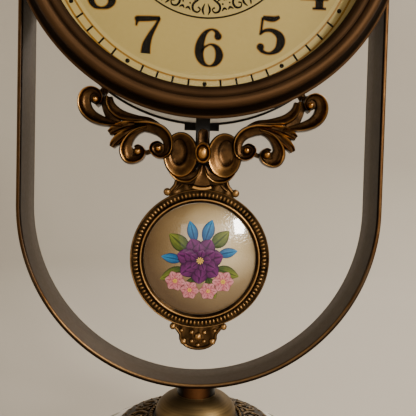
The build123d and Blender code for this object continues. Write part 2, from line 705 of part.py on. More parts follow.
def make_back_cover():
    """Rear cover with a locating lip, a square window, a finger tab and two hinge knuckles."""
    cover = pin(COVER_RADIUS, DRUM_BACK, COVER_BACK, 0.0, DIAL_HEIGHT)
    lip_front = DRUM_BACK - COVER_LIP
    lip_bore = COVER_LIP_RADIUS - COVER_LIP_WALL
    cover += tube(COVER_LIP_RADIUS, lip_bore, lip_front, DRUM_BACK, 0.0, DIAL_HEIGHT)
    tab_heights = (DIAL_HEIGHT - COVER_RADIUS - TAB_DROP, DIAL_HEIGHT - lip_bore)
    cover += block((-TAB_WIDTH / 2, TAB_WIDTH / 2), (DRUM_BACK, COVER_BACK), tab_heights)
    half = WINDOW_WIDTH / 2
    window = (DIAL_HEIGHT - half, DIAL_HEIGHT + half)
    cover -= block((-half, half), (DRUM_BACK, COVER_BACK), window)
    for side in (-1, 1):
        low = KNUCKLE_LENGTH / 2 + SHAKE if side > 0 else -3 * KNUCKLE_LENGTH / 2
        high = low + KNUCKLE_LENGTH - SHAKE
        foot = (DIAL_HEIGHT + low, DIAL_HEIGHT + high)
        cover += hinge_bar(KNUCKLE_RADIUS, low, high)
        cover += block((HINGE_X - KNUCKLE_RADIUS, HINGE_X), (COVER_BACK, HINGE_DEPTH), foot)
        cover -= hinge_bar(HINGE_PIN_RADIUS + SEAT_GAP, low, high)
    for angle in COVER_SCREW_ANGLES:
        cover -= on_dial(angle, spoke(SCREW_RADIUS + SEAT_GAP, lip_bore, DRUM_BORE, COVER_SCREW_DEPTH))
    return cover


def make_back_cover_screws():
    seat = DRUM_RADIUS + SEAT_GAP
    end = COVER_LIP_RADIUS - COVER_LIP_WALL + SEAT_GAP
    screw = radial_screw(seat, end, COVER_SCREW_DEPTH)
    return Compound([on_dial(angle, screw).solid() for angle in COVER_SCREW_ANGLES])


def make_access_door():
    """Square door with its knuckle between the cover's two, and a pull knob."""
    half = DOOR_WIDTH / 2
    back = DOOR_FRONT + DOOR_THICKNESS
    heights = (DIAL_HEIGHT - half, DIAL_HEIGHT + half)
    door = block((-half, half), (DOOR_FRONT, back), heights)
    low = -KNUCKLE_LENGTH / 2
    high = KNUCKLE_LENGTH / 2
    door += hinge_bar(KNUCKLE_RADIUS, low, high)
    leaf_depths = (DOOR_FRONT + KNUCKLE_CLEARANCE, back)
    door += block((HINGE_X, -half), leaf_depths, (DIAL_HEIGHT + low, DIAL_HEIGHT + high))
    door -= hinge_bar(HINGE_PIN_RADIUS + RUNNING_FIT, low, high)
    knob = pin(DOOR_KNOB_RADIUS, back, back + DOOR_KNOB_LENGTH, half - DOOR_KNOB_INSET, DIAL_HEIGHT)
    return door + knob


def make_door_hinge_pin():
    half = 3 * KNUCKLE_LENGTH / 2
    return hinge_bar(HINGE_PIN_RADIUS, -half, half)


# Movement


def place(bearing, distance, origin=(0.0, 0.0)):
    """Point at a bearing and distance, in x and height from the dial's centre."""
    turn = math.radians(bearing)
    return origin[0] + distance * math.cos(turn), origin[1] + distance * math.sin(turn)


THIRD_AXIS = place(THIRD_BEARING, TRAIN_DISTANCE)
SETTING_AXIS = place(MOTION_BEARING, MOTION_DISTANCE)
INTERMEDIATE_DISTANCE = FAST_MODULE * (SECONDS_TEETH + INTERMEDIATE_PINION_TEETH) / 2
INTERMEDIATE_AXIS = place(INTERMEDIATE_BEARING, INTERMEDIATE_DISTANCE)
ROTOR_DISTANCE = FAST_MODULE * (INTERMEDIATE_TEETH + ROTOR_PINION_TEETH) / 2
ROTOR_AXIS = place(ROTOR_BEARING, ROTOR_DISTANCE, INTERMEDIATE_AXIS)
CENTER_AXIS = (0.0, 0.0)


def gear(teeth, module, axis, first, front, thickness):
    """Toothed disc with straight flanks, its first tooth at an angle, between two layers."""
    pitch_radius = teeth * module / 2
    slope = math.tan(math.radians(PRESSURE_ANGLE))
    root = pitch_radius - TOOTH_DEDENDUM * module
    tip = pitch_radius + TOOTH_ADDENDUM * module
    points = []
    for index in range(teeth):
        middle = math.radians(first) + 2 * math.pi * index / teeth
        for radius, side in ((root, -1), (tip, -1), (tip, 1), (root, 1)):
            half = TOOTH_SHARE * math.pi * module / 2 + (pitch_radius - radius) * slope
            turn = middle + side * half / radius
            x = axis[0] + radius * math.cos(turn)
            points.append((x, DIAL_HEIGHT + axis[1] + radius * math.sin(turn)))
    return slab(polygon(*points), layer(front), layer(front + thickness))


def tooth_angle(axis, other):
    """Angle from one axis to another, where the driving gear has a tooth."""
    return math.degrees(math.atan2(other[1] - axis[1], other[0] - axis[0]))


def gap_angle(axis, other, teeth):
    """Angle of the first tooth of a gear that has a gap toward the other axis."""
    return tooth_angle(axis, other) + 180.0 / teeth


def axle(radius, front, back, axis):
    """Round bar on an axis of the movement between two layers."""
    return pin(radius, layer(front), layer(back), axis[0], DIAL_HEIGHT + axis[1])


def pinion(teeth, module, axis, first, front):
    """Pinion a little thicker than the wheel that it meets."""
    return gear(teeth, module, axis, first, front - PINION_OVERHANG, WHEEL_THICKNESS + 2 * PINION_OVERHANG)


def pivoted(axis, front_plate, front_face, radius):
    """Arbor from a front bearing to the rear shell, with thinner pivots in both."""
    body = axle(radius, front_face + SHAKE, REAR_PLATE_LAYER - SHAKE, axis)
    return body + axle(PIVOT_RADIUS, front_plate, SHELL_DEPTH - 2 * SHAKE, axis)


def make_rotor():
    axis = ROTOR_AXIS
    rotor = pivoted(axis, BRIDGE_LAYER, BRIDGE_LAYER + BRIDGE_THICKNESS, ARBOR_RADIUS)
    first = gap_angle(axis, INTERMEDIATE_AXIS, ROTOR_PINION_TEETH)
    rotor += pinion(ROTOR_PINION_TEETH, FAST_MODULE, axis, first, INTERMEDIATE_LAYER)
    return rotor + axle(ROTOR_MAGNET_RADIUS, ROTOR_LAYER, ROTOR_LAYER + ROTOR_MAGNET_THICKNESS, axis)


def make_intermediate_wheel():
    axis = INTERMEDIATE_AXIS
    wheel = pivoted(axis, BRIDGE_LAYER, BRIDGE_LAYER + BRIDGE_THICKNESS, ARBOR_RADIUS)
    first = gap_angle(axis, CENTER_AXIS, INTERMEDIATE_PINION_TEETH)
    wheel += pinion(INTERMEDIATE_PINION_TEETH, FAST_MODULE, axis, first, SECONDS_LAYER)
    first = tooth_angle(axis, ROTOR_AXIS)
    return wheel + gear(INTERMEDIATE_TEETH, FAST_MODULE, axis, first, INTERMEDIATE_LAYER, WHEEL_THICKNESS)


def make_seconds_wheel():
    axis = CENTER_AXIS
    front = SECOND_HAND_LAYER - HUB_TAIL
    wheel = axle(SECONDS_ARBOR_RADIUS, front, REAR_PLATE_LAYER - SHAKE, axis)
    wheel += axle(PIVOT_RADIUS, SECONDS_LAYER, SHELL_DEPTH - 2 * SHAKE, axis)
    first = gap_angle(axis, THIRD_AXIS, SECONDS_PINION_TEETH)
    wheel += pinion(SECONDS_PINION_TEETH, THIRD_MODULE, axis, first, THIRD_LAYER)
    first = tooth_angle(axis, INTERMEDIATE_AXIS)
    return wheel + gear(SECONDS_TEETH, FAST_MODULE, axis, first, SECONDS_LAYER, WHEEL_THICKNESS)


def make_third_wheel():
    axis = THIRD_AXIS
    wheel = pivoted(axis, 2 * SHAKE, SHELL_WALL, ARBOR_RADIUS)
    first = gap_angle(axis, CENTER_AXIS, THIRD_PINION_TEETH)
    wheel += pinion(THIRD_PINION_TEETH, TRAIN_MODULE, axis, first, CENTER_LAYER)
    first = tooth_angle(axis, CENTER_AXIS)
    return wheel + gear(THIRD_TEETH, THIRD_MODULE, axis, first, THIRD_LAYER, WHEEL_THICKNESS)


def make_center_wheel():
    """Minute arbor: a tube with the driven wheel, and the cannon pinion of the motion work."""
    axis = CENTER_AXIS
    front = MINUTE_HAND_LAYER - HUB_TAIL
    back = CENTER_LAYER + WHEEL_THICKNESS + HUB_TAIL
    wheel = axle(MINUTE_TUBE_RADIUS, front, back, axis)
    first = tooth_angle(axis, THIRD_AXIS)
    wheel += gear(CENTER_TEETH, TRAIN_MODULE, axis, first, CENTER_LAYER, WHEEL_THICKNESS)
    first = tooth_angle(axis, SETTING_AXIS)
    wheel += pinion(CANNON_TEETH, CANNON_MODULE, axis, first, MOTION_LAYER)
    return wheel - axle(SECONDS_ARBOR_RADIUS + RUNNING_FIT, front, back, axis)


def make_minute_wheel():
    """Motion wheel between the cannon pinion and the hour wheel, with the setting arbor."""
    axis = SETTING_AXIS
    knob_end = SHELL_DEPTH + SHAKE + KNOB_LENGTH
    wheel = axle(SETTING_ARBOR_RADIUS, SHELL_WALL + SHAKE, knob_end, axis)
    wheel += axle(PIVOT_RADIUS, 2 * SHAKE, HOUR_LAYER, axis)
    first = gap_angle(axis, CENTER_AXIS, MINUTE_WHEEL_TEETH)
    wheel += gear(MINUTE_WHEEL_TEETH, CANNON_MODULE, axis, first, MOTION_LAYER, WHEEL_THICKNESS)
    first = tooth_angle(axis, CENTER_AXIS)
    front = HOUR_LAYER - PINION_OVERHANG
    length = MOTION_LAYER - front
    return wheel + gear(MINUTE_PINION_TEETH, HOUR_MODULE, axis, first, front, length)


def make_set_knob():
    front = SHELL_DEPTH + SHAKE
    knob = axle(KNOB_RADIUS, front, front + KNOB_LENGTH, SETTING_AXIS)
    return knob - axle(SETTING_ARBOR_RADIUS + SEAT_GAP, front, front + KNOB_LENGTH, SETTING_AXIS)


def make_hour_wheel():
    axis = CENTER_AXIS
    front = HOUR_HAND_LAYER - HUB_TAIL
    back = HOUR_LAYER + HOUR_WHEEL_THICKNESS
    first = gap_angle(axis, SETTING_AXIS, HOUR_TEETH)
    wheel = gear(HOUR_TEETH, HOUR_MODULE, axis, first, HOUR_LAYER, HOUR_WHEEL_THICKNESS)
    wheel += axle(HOUR_TUBE_RADIUS, front, back, axis)
    return wheel - axle(MINUTE_TUBE_RADIUS + RUNNING_FIT, front, back, axis)


def case_outline(margin):
    """Outline of the movement's case and its pendulum box, moved in by a margin."""
    half = CASE_WIDTH / 2 - margin
    narrow = SWING_BOX_WIDTH / 2 - margin
    bottom = DIAL_HEIGHT - SWING_BOX_BOTTOM + margin
    return polygon(
        (-half, DIAL_HEIGHT + half),
        (-half, DIAL_HEIGHT - half),
        (-narrow, DIAL_HEIGHT - half),
        (-narrow, bottom),
        (narrow, bottom),
        (narrow, DIAL_HEIGHT - half),
        (half, DIAL_HEIGHT - half),
        (half, DIAL_HEIGHT + half),
    )


def bridge_posts():
    """Places of the four posts that carry the bridge."""
    reach = INNER_WIDTH / 2 - POST_INSET
    return [(x * reach, z * reach) for x in (-1, 1) for z in (-1, 1)]


PIVOT_AXIS = (0.0, -PIVOT_DROP)
MAGNET_AXIS = (0.0, -MAGNET_DROP)


def make_movement_front_shell():
    """Front half of the case: bearing plate, walls, threaded bush, posts and pivot boss."""
    shell = slab(case_outline(0.0), layer(0.0), layer(SHELL_SPLIT))
    shell -= slab(case_outline(SHELL_WALL), layer(SHELL_WALL), layer(SHELL_SPLIT))
    shell += axle(BUSH_RADIUS, -BUSH_REACH, SHELL_WALL, CENTER_AXIS)
    for post in bridge_posts():
        shell += axle(POST_RADIUS, SHELL_WALL, BRIDGE_LAYER, post)
    shell += axle(PIVOT_BOSS_RADIUS, SHELL_WALL, HANGER_FRONT_LAYER - SHAKE, PIVOT_AXIS)
    shell -= axle(PIVOT_PIN_RADIUS + SEAT_GAP, 2 * SHAKE, HANGER_FRONT_LAYER, PIVOT_AXIS)
    shell -= axle(HOUR_TUBE_RADIUS + RUNNING_FIT, -BUSH_REACH, SHELL_WALL, CENTER_AXIS)
    for axis in (THIRD_AXIS, SETTING_AXIS):
        shell -= axle(PIVOT_RADIUS + RUNNING_FIT, 0.0, SHELL_WALL, axis)
    half = HANGER_HALF_WIDTH + (SWING_BOX_BOTTOM - PIVOT_DROP) * SWING_SINE + SWING_CLEARANCE
    bottom = DIAL_HEIGHT - SWING_BOX_BOTTOM
    slot_depths = (layer(HANGER_FRONT_LAYER - SHAKE), layer(HANGER_BACK_LAYER + MAGNET_THICKNESS))
    return shell - block((-half, half), slot_depths, (bottom, bottom + SHELL_WALL))


def stator_posts():
    """Places where posts of the rear shell carry the stator."""
    height = stator_bar_middle()
    return [(ROTOR_AXIS[0], height), (stator_left() + STATOR_MARGIN / 2, height)]


def stator_left():
    return ROTOR_AXIS[0] - STATOR_MARGIN - COIL_LENGTH - 2 * STATOR_MARGIN


def stator_bar_middle():
    return -INNER_WIDTH / 2 + STATOR_MARGIN


def make_movement_rear_shell():
    """Rear half of the case: walls, bearing plate, battery bay, coil core and posts."""
    shell = slab(case_outline(0.0), layer(SHELL_SPLIT), layer(SHELL_DEPTH))
    shell -= slab(case_outline(SHELL_WALL), layer(SHELL_SPLIT), layer(REAR_PLATE_LAYER))
    bay_half = BAY_LENGTH / 2
    bay_rise = DIAL_HEIGHT + BATTERY_RISE
    bay_reach = BATTERY_RADIUS + SLIDE_FIT
    floor = layer(SHELL_DEPTH + BAY_WALL)
    rear = layer(BATTERY_LAYER + BATTERY_RADIUS / 2)
    outer_reach = bay_reach + BAY_WALL
    outer_half = bay_half + BAY_WALL
    bay_heights = (bay_rise - outer_reach, bay_rise + outer_reach)
    shell += block((-outer_half, outer_half), (layer(SHELL_DEPTH), rear), bay_heights)
    shell -= block((-bay_half, bay_half), (floor, rear), (bay_rise - bay_reach, bay_rise + bay_reach))
    for post in stator_posts():
        shell += axle(SCREW_RADIUS, ROTOR_LAYER + STATOR_GAP + STATOR_THICKNESS, REAR_PLATE_LAYER, post)
    shell += axle(PIVOT_BOSS_RADIUS, HANGER_BACK_LAYER + SHAKE, REAR_PLATE_LAYER, PIVOT_AXIS)
    shell -= axle(PIVOT_PIN_RADIUS + SEAT_GAP, HANGER_BACK_LAYER, SHELL_DEPTH - 2 * SHAKE, PIVOT_AXIS)
    shell += axle(COIL_CORE_RADIUS, swing_coil_front() + SHAKE, REAR_PLATE_LAYER, MAGNET_AXIS)
    for axis in (CENTER_AXIS, THIRD_AXIS, INTERMEDIATE_AXIS, ROTOR_AXIS):
        shell -= axle(PIVOT_RADIUS + RUNNING_FIT, REAR_PLATE_LAYER, SHELL_DEPTH, axis)
    return shell - axle(SETTING_ARBOR_RADIUS + RUNNING_FIT, REAR_PLATE_LAYER, SHELL_DEPTH, SETTING_AXIS)


def make_train_bridge():
    """Plate on the four posts that carries the fast arbors."""
    half = INNER_WIDTH / 2 - SLIDE_FIT
    heights = (DIAL_HEIGHT - half, DIAL_HEIGHT + half)
    back = BRIDGE_LAYER + BRIDGE_THICKNESS
    plate = block((-half, half), (layer(BRIDGE_LAYER), layer(back)), heights)
    plate -= axle(SECONDS_ARBOR_RADIUS + RUNNING_FIT, BRIDGE_LAYER, back, CENTER_AXIS)
    for axis in (INTERMEDIATE_AXIS, ROTOR_AXIS):
        plate -= axle(PIVOT_RADIUS + RUNNING_FIT, BRIDGE_LAYER, back, axis)
    plate -= axle(ARBOR_RADIUS + SHAKE, BRIDGE_LAYER, back, THIRD_AXIS)
    return plate - axle(SETTING_ARBOR_RADIUS + SHAKE, BRIDGE_LAYER, back, SETTING_AXIS)


def make_center_washer():
    front = -DIAL_THICKNESS - CENTER_WASHER_THICKNESS
    washer = axle(CENTER_WASHER_RADIUS, front, -DIAL_THICKNESS, CENTER_AXIS)
    return washer - axle(BUSH_RADIUS + SEAT_GAP, front, -DIAL_THICKNESS, CENTER_AXIS)


def make_center_nut():
    back = -DIAL_THICKNESS - CENTER_WASHER_THICKNESS
    front = back - CENTER_NUT_HEIGHT
    face = RegularPolygon(CENTER_NUT_WIDTH / 2, 6, major_radius=False)
    nut = slab(Pos(0, DIAL_HEIGHT) * face, layer(front), layer(back))
    return nut - axle(BUSH_RADIUS + SEAT_GAP, front, back, CENTER_AXIS)


def make_stator():
    """Iron plate round the rotor with a bar through the coil."""
    front = ROTOR_LAYER + STATOR_GAP
    depths = (layer(front), layer(front + STATOR_THICKNESS))
    right = ROTOR_AXIS[0] + STATOR_MARGIN
    left = ROTOR_AXIS[0] - STATOR_MARGIN
    bar_low = DIAL_HEIGHT + stator_bar_middle() - STATOR_MARGIN / 2
    bar_high = bar_low + STATOR_MARGIN
    rotor_hole = ROTOR_MAGNET_RADIUS + STATOR_GAP
    top = DIAL_HEIGHT + ROTOR_AXIS[1] + rotor_hole + STATOR_GAP
    plate = block((left, right), depths, (bar_low, top))
    plate += block((stator_left(), right), depths, (bar_low, bar_high))
    return plate - axle(rotor_hole, front, front + STATOR_THICKNESS, ROTOR_AXIS)


def make_drive_coil():
    """Winding round the stator's bar, kept as its plain outer form."""
    middle = DIAL_HEIGHT + stator_bar_middle()
    half = COIL_WIDTH / 2
    depth = layer(ROTOR_LAYER + STATOR_GAP + STATOR_THICKNESS / 2)
    reach = STATOR_THICKNESS / 2 + SEAT_GAP
    left = stator_left() + STATOR_MARGIN
    ends = (left + SHAKE, left + COIL_LENGTH)
    body = block(ends, (depth - half / 2, depth + half / 2), (middle - half, middle + half))
    bar_reach = STATOR_MARGIN / 2 + SEAT_GAP
    return body - block(ends, (depth - reach, depth + reach), (middle - bar_reach, middle + bar_reach))


def board_limits():
    right = INNER_WIDTH / 2 - BOARD_INSET
    return (right - BOARD_WIDTH, right), (DIAL_HEIGHT + right - BOARD_HEIGHT, DIAL_HEIGHT + right)


def make_circuit_board():
    x_range, heights = board_limits()
    depths = (layer(REAR_PLATE_LAYER - BOARD_THICKNESS), layer(REAR_PLATE_LAYER))
    return block(x_range, depths, heights)


def make_quartz_crystal():
    x_range, heights = board_limits()
    depth = layer(REAR_PLATE_LAYER - BOARD_THICKNESS - CRYSTAL_RADIUS - SEAT_GAP)
    middle = (sum(x_range) / 2, depth, sum(heights) / 2)
    return Pos(*middle) * Rot(0, 90, 0) * Cylinder(CRYSTAL_RADIUS, CRYSTAL_LENGTH)


def lying_bar(radius, left, right):
    """Round bar along X on the battery's axis."""
    middle = ((left + right) / 2, layer(BATTERY_LAYER), DIAL_HEIGHT + BATTERY_RISE)
    return Pos(*middle) * Rot(0, 90, 0) * Cylinder(radius, right - left)


def battery_left():
    return -BAY_LENGTH / 2 + 3 * CONTACT_THICKNESS


def make_battery():
    left = battery_left()
    right = left + BATTERY_LENGTH
    nub = lying_bar(BATTERY_NUB_RADIUS, right, right + BATTERY_NUB_LENGTH)
    return lying_bar(BATTERY_RADIUS, left, right) + nub


def contact_plate(left, right):
    half = CONTACT_WIDTH / 2
    middle = DIAL_HEIGHT + BATTERY_RISE
    floor = layer(SHELL_DEPTH + BAY_WALL)
    top = layer(BATTERY_LAYER + BATTERY_NUB_RADIUS)
    return block((left, right), (floor, top), (middle - half, middle + half))


def make_battery_contact_plus():
    right = BAY_LENGTH / 2
    return contact_plate(right - CONTACT_THICKNESS, right)


def make_battery_contact_minus():
    """End plate with the compressed spring's plain outer form."""
    left = -BAY_LENGTH / 2
    plate = contact_plate(left, left + CONTACT_THICKNESS)
    return plate + lying_bar(BATTERY_NUB_RADIUS, left + CONTACT_THICKNESS, battery_left())


# Hands


def hand(length, width, leaf, bore, front, angle, tail=0.0):
    """Hand with a hub, a tapered blade that swells to a leaf, and a tail."""
    start = LEAF_START * length
    middle = LEAF_MIDDLE * length
    end = LEAF_END * length
    blade = polygon(
        (-width / 2, -tail),
        (-width / 2, start),
        (-leaf / 2, middle),
        (-width / 4, end),
        (0.0, length),
        (width / 4, end),
        (leaf / 2, middle),
        (width / 2, start),
        (width / 2, -tail),
    )
    body = slab(blade, layer(front), layer(front + HAND_THICKNESS))
    body += pin(HAND_HUB_RADIUS, layer(front), layer(front + HAND_THICKNESS))
    body -= pin(bore + SEAT_GAP, layer(front), layer(front + HAND_THICKNESS))
    return Pos(0, 0, DIAL_HEIGHT) * Rot(0, angle, 0) * body


def make_hour_hand():
    bore = HOUR_TUBE_RADIUS
    return hand(HOUR_HAND_LENGTH, HOUR_HAND_WIDTH, HOUR_LEAF_WIDTH, bore, HOUR_HAND_LAYER, HOUR_HAND_ANGLE)


def make_minute_hand():
    bore = MINUTE_TUBE_RADIUS
    width = MINUTE_HAND_WIDTH
    return hand(MINUTE_HAND_LENGTH, width, MINUTE_LEAF_WIDTH, bore, MINUTE_HAND_LAYER, MINUTE_HAND_ANGLE)


def make_second_hand():
    bore = SECONDS_ARBOR_RADIUS
    width = SECOND_HAND_WIDTH
    front = SECOND_HAND_LAYER
    return hand(SECOND_HAND_LENGTH, width, width, bore, front, SECOND_HAND_ANGLE, SECOND_HAND_TAIL)


# Scroll casting


def scroll_stud_angles():
    return (270.0 - SCROLL_STUD_ANGLE, 270.0 + SCROLL_STUD_ANGLE)


def scroll_stud_depth():
    """Depth of the stud screws, whose heads lie behind the bezel's skirt."""
    return SKIRT_BACK + SCREW_HEAD_RADIUS + SLIDE_FIT


def disc(center, radius):
    return Pos(*center) * Circle(radius)


def limb(start, start_radius, end, end_radius):
    """Tapered bar with round ends."""
    length = math.dist(start, end)
    across = ((start[1] - end[1]) / length, (end[0] - start[0]) / length)
    corners = (
        (start[0] + across[0] * start_radius, start[1] + across[1] * start_radius),
        (start[0] - across[0] * start_radius, start[1] - across[1] * start_radius),
        (end[0] - across[0] * end_radius, end[1] - across[1] * end_radius),
        (end[0] + across[0] * end_radius, end[1] + across[1] * end_radius),
    )
    return polygon(*corners) + disc(start, start_radius) + disc(end, end_radius)


def scroll_half():
    """Right half of the casting's outline, in x and height from the drum's lowest point."""
    shape = limb(CURL_EYE, CURL_RADIUS, SCROLL_ELBOW, ELBOW_RADIUS)
    shape += limb(SCROLL_ELBOW, ELBOW_RADIUS, SCROLL_KNOT, KNOT_RADIUS)
    shape += limb(SCROLL_KNOT, KNOT_RADIUS, SCROLL_ARCH, ARCH_RADIUS)
    shape += limb(SCROLL_ARCH, ARCH_RADIUS, INNER_EYE, INNER_RADIUS)
    shape += limb(SCROLL_KNOT, KNOT_RADIUS, LOWER_EYE, LOWER_RADIUS)
    for tip in LEAF_TIPS:
        shape += limb(SCROLL_KNOT, LEAF_ROOT_RADIUS, tip, LEAF_TIP_RADIUS)
    shape += limb(BRANCH_ROOT, BRANCH_ROOT_RADIUS, BRANCH_TIP, BRANCH_TIP_RADIUS)
    shape += Pos(*SHELL_CENTER) * Ellipse(*SHELL_RADII)
    shape += Pos(*CRESCENT_CENTER) * Ellipse(*CRESCENT_RADII)
    return shape - disc(SCROLL_HOLE, SCROLL_HOLE_RADIUS)


def make_scroll_ornament():
    """Cast scroll, alike on both sides, with eyes, a middle boss and two screw studs."""
    half = scroll_half()
    outline = half + mirror(half, Plane.YZ)
    outline += polygon(
        (-STEM_HALF_WIDTH, -STEM_TOP_DROP),
        (STEM_HALF_WIDTH, -STEM_TOP_DROP),
        (STEM_HALF_WIDTH, -BOSS_DROP),
        CRESCENT_CENTER,
        (TONGUE_HALF_WIDTH, -TONGUE_DROP),
        (-TONGUE_HALF_WIDTH, -TONGUE_DROP),
        (-CRESCENT_CENTER[0], CRESCENT_CENTER[1]),
        (-STEM_HALF_WIDTH, -BOSS_DROP),
    )
    casting = slab(Pos(0, DRUM_BOTTOM) * outline, SCROLL_FRONT, SCROLL_BACK)
    for eye in (CURL_EYE, INNER_EYE, LOWER_EYE):
        for side in (-1, 1):
            casting += Pos(side * eye[0], SCROLL_FRONT, DRUM_BOTTOM + eye[1]) * Sphere(EYE_BALL_RADIUS)
    casting += Pos(0, SCROLL_FRONT + BOSS_RADIUS / 2, DRUM_BOTTOM - BOSS_DROP) * Sphere(BOSS_RADIUS)
    depth = scroll_stud_depth()
    reach = DRUM_RADIUS + SCREW_BITE + SCROLL_STUD_RADIUS
    hole = SCREW_RADIUS + SEAT_GAP
    lug_back = depth + SCROLL_STUD_RADIUS + SCROLL_LUG_TAIL
    for angle in scroll_stud_angles():
        casting += on_dial(angle, pin(SCROLL_STUD_RADIUS, SCROLL_FRONT, lug_back, reach))
        casting += on_dial(angle, spoke(SCROLL_STUD_RADIUS, DRUM_RADIUS + SEAT_GAP, reach, depth))
        casting -= on_dial(angle, spoke(hole, DRUM_RADIUS, DRUM_RADIUS + SCREW_BITE + SEAT_GAP, depth))
    return casting


def make_scroll_screws():
    seat = DRUM_BORE - SEAT_GAP
    screw = radial_screw(seat, DRUM_RADIUS + SCREW_BITE, scroll_stud_depth())
    return Compound([on_dial(angle, screw).solid() for angle in scroll_stud_angles()])


# Pendulum


def swing_coil_front():
    return HANGER_BACK_LAYER + MAGNET_THICKNESS + SWING_COIL_GAP


def make_pivot_pin():
    return axle(PIVOT_PIN_RADIUS, 2 * SHAKE, SHELL_DEPTH - 2 * SHAKE, PIVOT_AXIS)


def make_pendulum_coil():
    """Winding on the rear shell's core, kept as its plain outer form."""
    front = swing_coil_front()
    back = front + SWING_COIL_LENGTH
    coil = axle(SWING_COIL_RADIUS, front, back, MAGNET_AXIS)
    return coil - axle(COIL_CORE_RADIUS + SEAT_GAP, front, back, MAGNET_AXIS)


def make_hanger_arm():
    """Arm that swings on the pivot pin and ends in a peg for the rod."""
    depths = (layer(HANGER_FRONT_LAYER), layer(HANGER_BACK_LAYER))
    heights = (DIAL_HEIGHT - PEG_DROP - HANGER_TAIL, DIAL_HEIGHT - PIVOT_DROP)
    arm = block((-HANGER_HALF_WIDTH, HANGER_HALF_WIDTH), depths, heights)
    arm += axle(HANGER_HUB_RADIUS, HANGER_FRONT_LAYER, HANGER_BACK_LAYER, PIVOT_AXIS)
    arm -= axle(PIVOT_PIN_RADIUS + RUNNING_FIT, HANGER_FRONT_LAYER, HANGER_BACK_LAYER, PIVOT_AXIS)
    peg_end = HANGER_BACK_LAYER + ROD_THICKNESS + PEG_TAIL
    return arm + axle(PEG_RADIUS, HANGER_BACK_LAYER, peg_end, (0.0, -PEG_DROP))


def make_drive_magnet():
    return axle(MAGNET_RADIUS, HANGER_BACK_LAYER, HANGER_BACK_LAYER + MAGNET_THICKNESS, MAGNET_AXIS)


def rod_screw_heights():
    return [MEDALLION_HEIGHT + MEDALLION_RADIUS + offset for offset in ROD_SCREW_OFFSETS]


def make_pendulum_rod():
    """Flat rod that hooks on the peg and is screwed to the back of the medallion's crown."""
    half = ROD_WIDTH / 2
    bottom = MEDALLION_HEIGHT + BACK_PLATE_RADIUS + SHAKE
    rod = block((-half, half), (ROD_FRONT, ROD_BACK), (bottom, DIAL_HEIGHT - PEG_DROP + ROD_ABOVE_PEG))
    rod -= axle(PEG_RADIUS + SEAT_GAP, HANGER_BACK_LAYER, HANGER_BACK_LAYER + ROD_THICKNESS, (0.0, -PEG_DROP))
    for height in rod_screw_heights():
        rod -= pin(SMALL_SCREW_RADIUS + SEAT_GAP, ROD_FRONT, ROD_BACK, 0.0, height)
    return rod


def make_rod_screws():
    screws = []
    for height in rod_screw_heights():
        head_back = ROD_BACK + SMALL_SCREW_HEAD_HEIGHT
        head = pin(SMALL_SCREW_HEAD_RADIUS, ROD_BACK, head_back, 0.0, height)
        shank = pin(SMALL_SCREW_RADIUS, ROD_FRONT - SMALL_SCREW_LENGTH, ROD_BACK, 0.0, height)
        screws.append((head + shank).solid())
    return Compound(screws)


def ball(x, rise, radius):
    """Ball of the medallion's trim, at the middle of the ring's thickness."""
    return Pos(x, (RING_FRONT + ROD_FRONT) / 2, MEDALLION_HEIGHT + rise) * Sphere(radius)


def back_plate_screw_places():
    """Places of the screws that hold the back plate, in x and height."""
    circle = (PORCELAIN_SEAT + BACK_PLATE_RADIUS) / 2
    return [place(angle, circle, (0.0, MEDALLION_HEIGHT)) for angle in SMALL_SCREW_ANGLES]


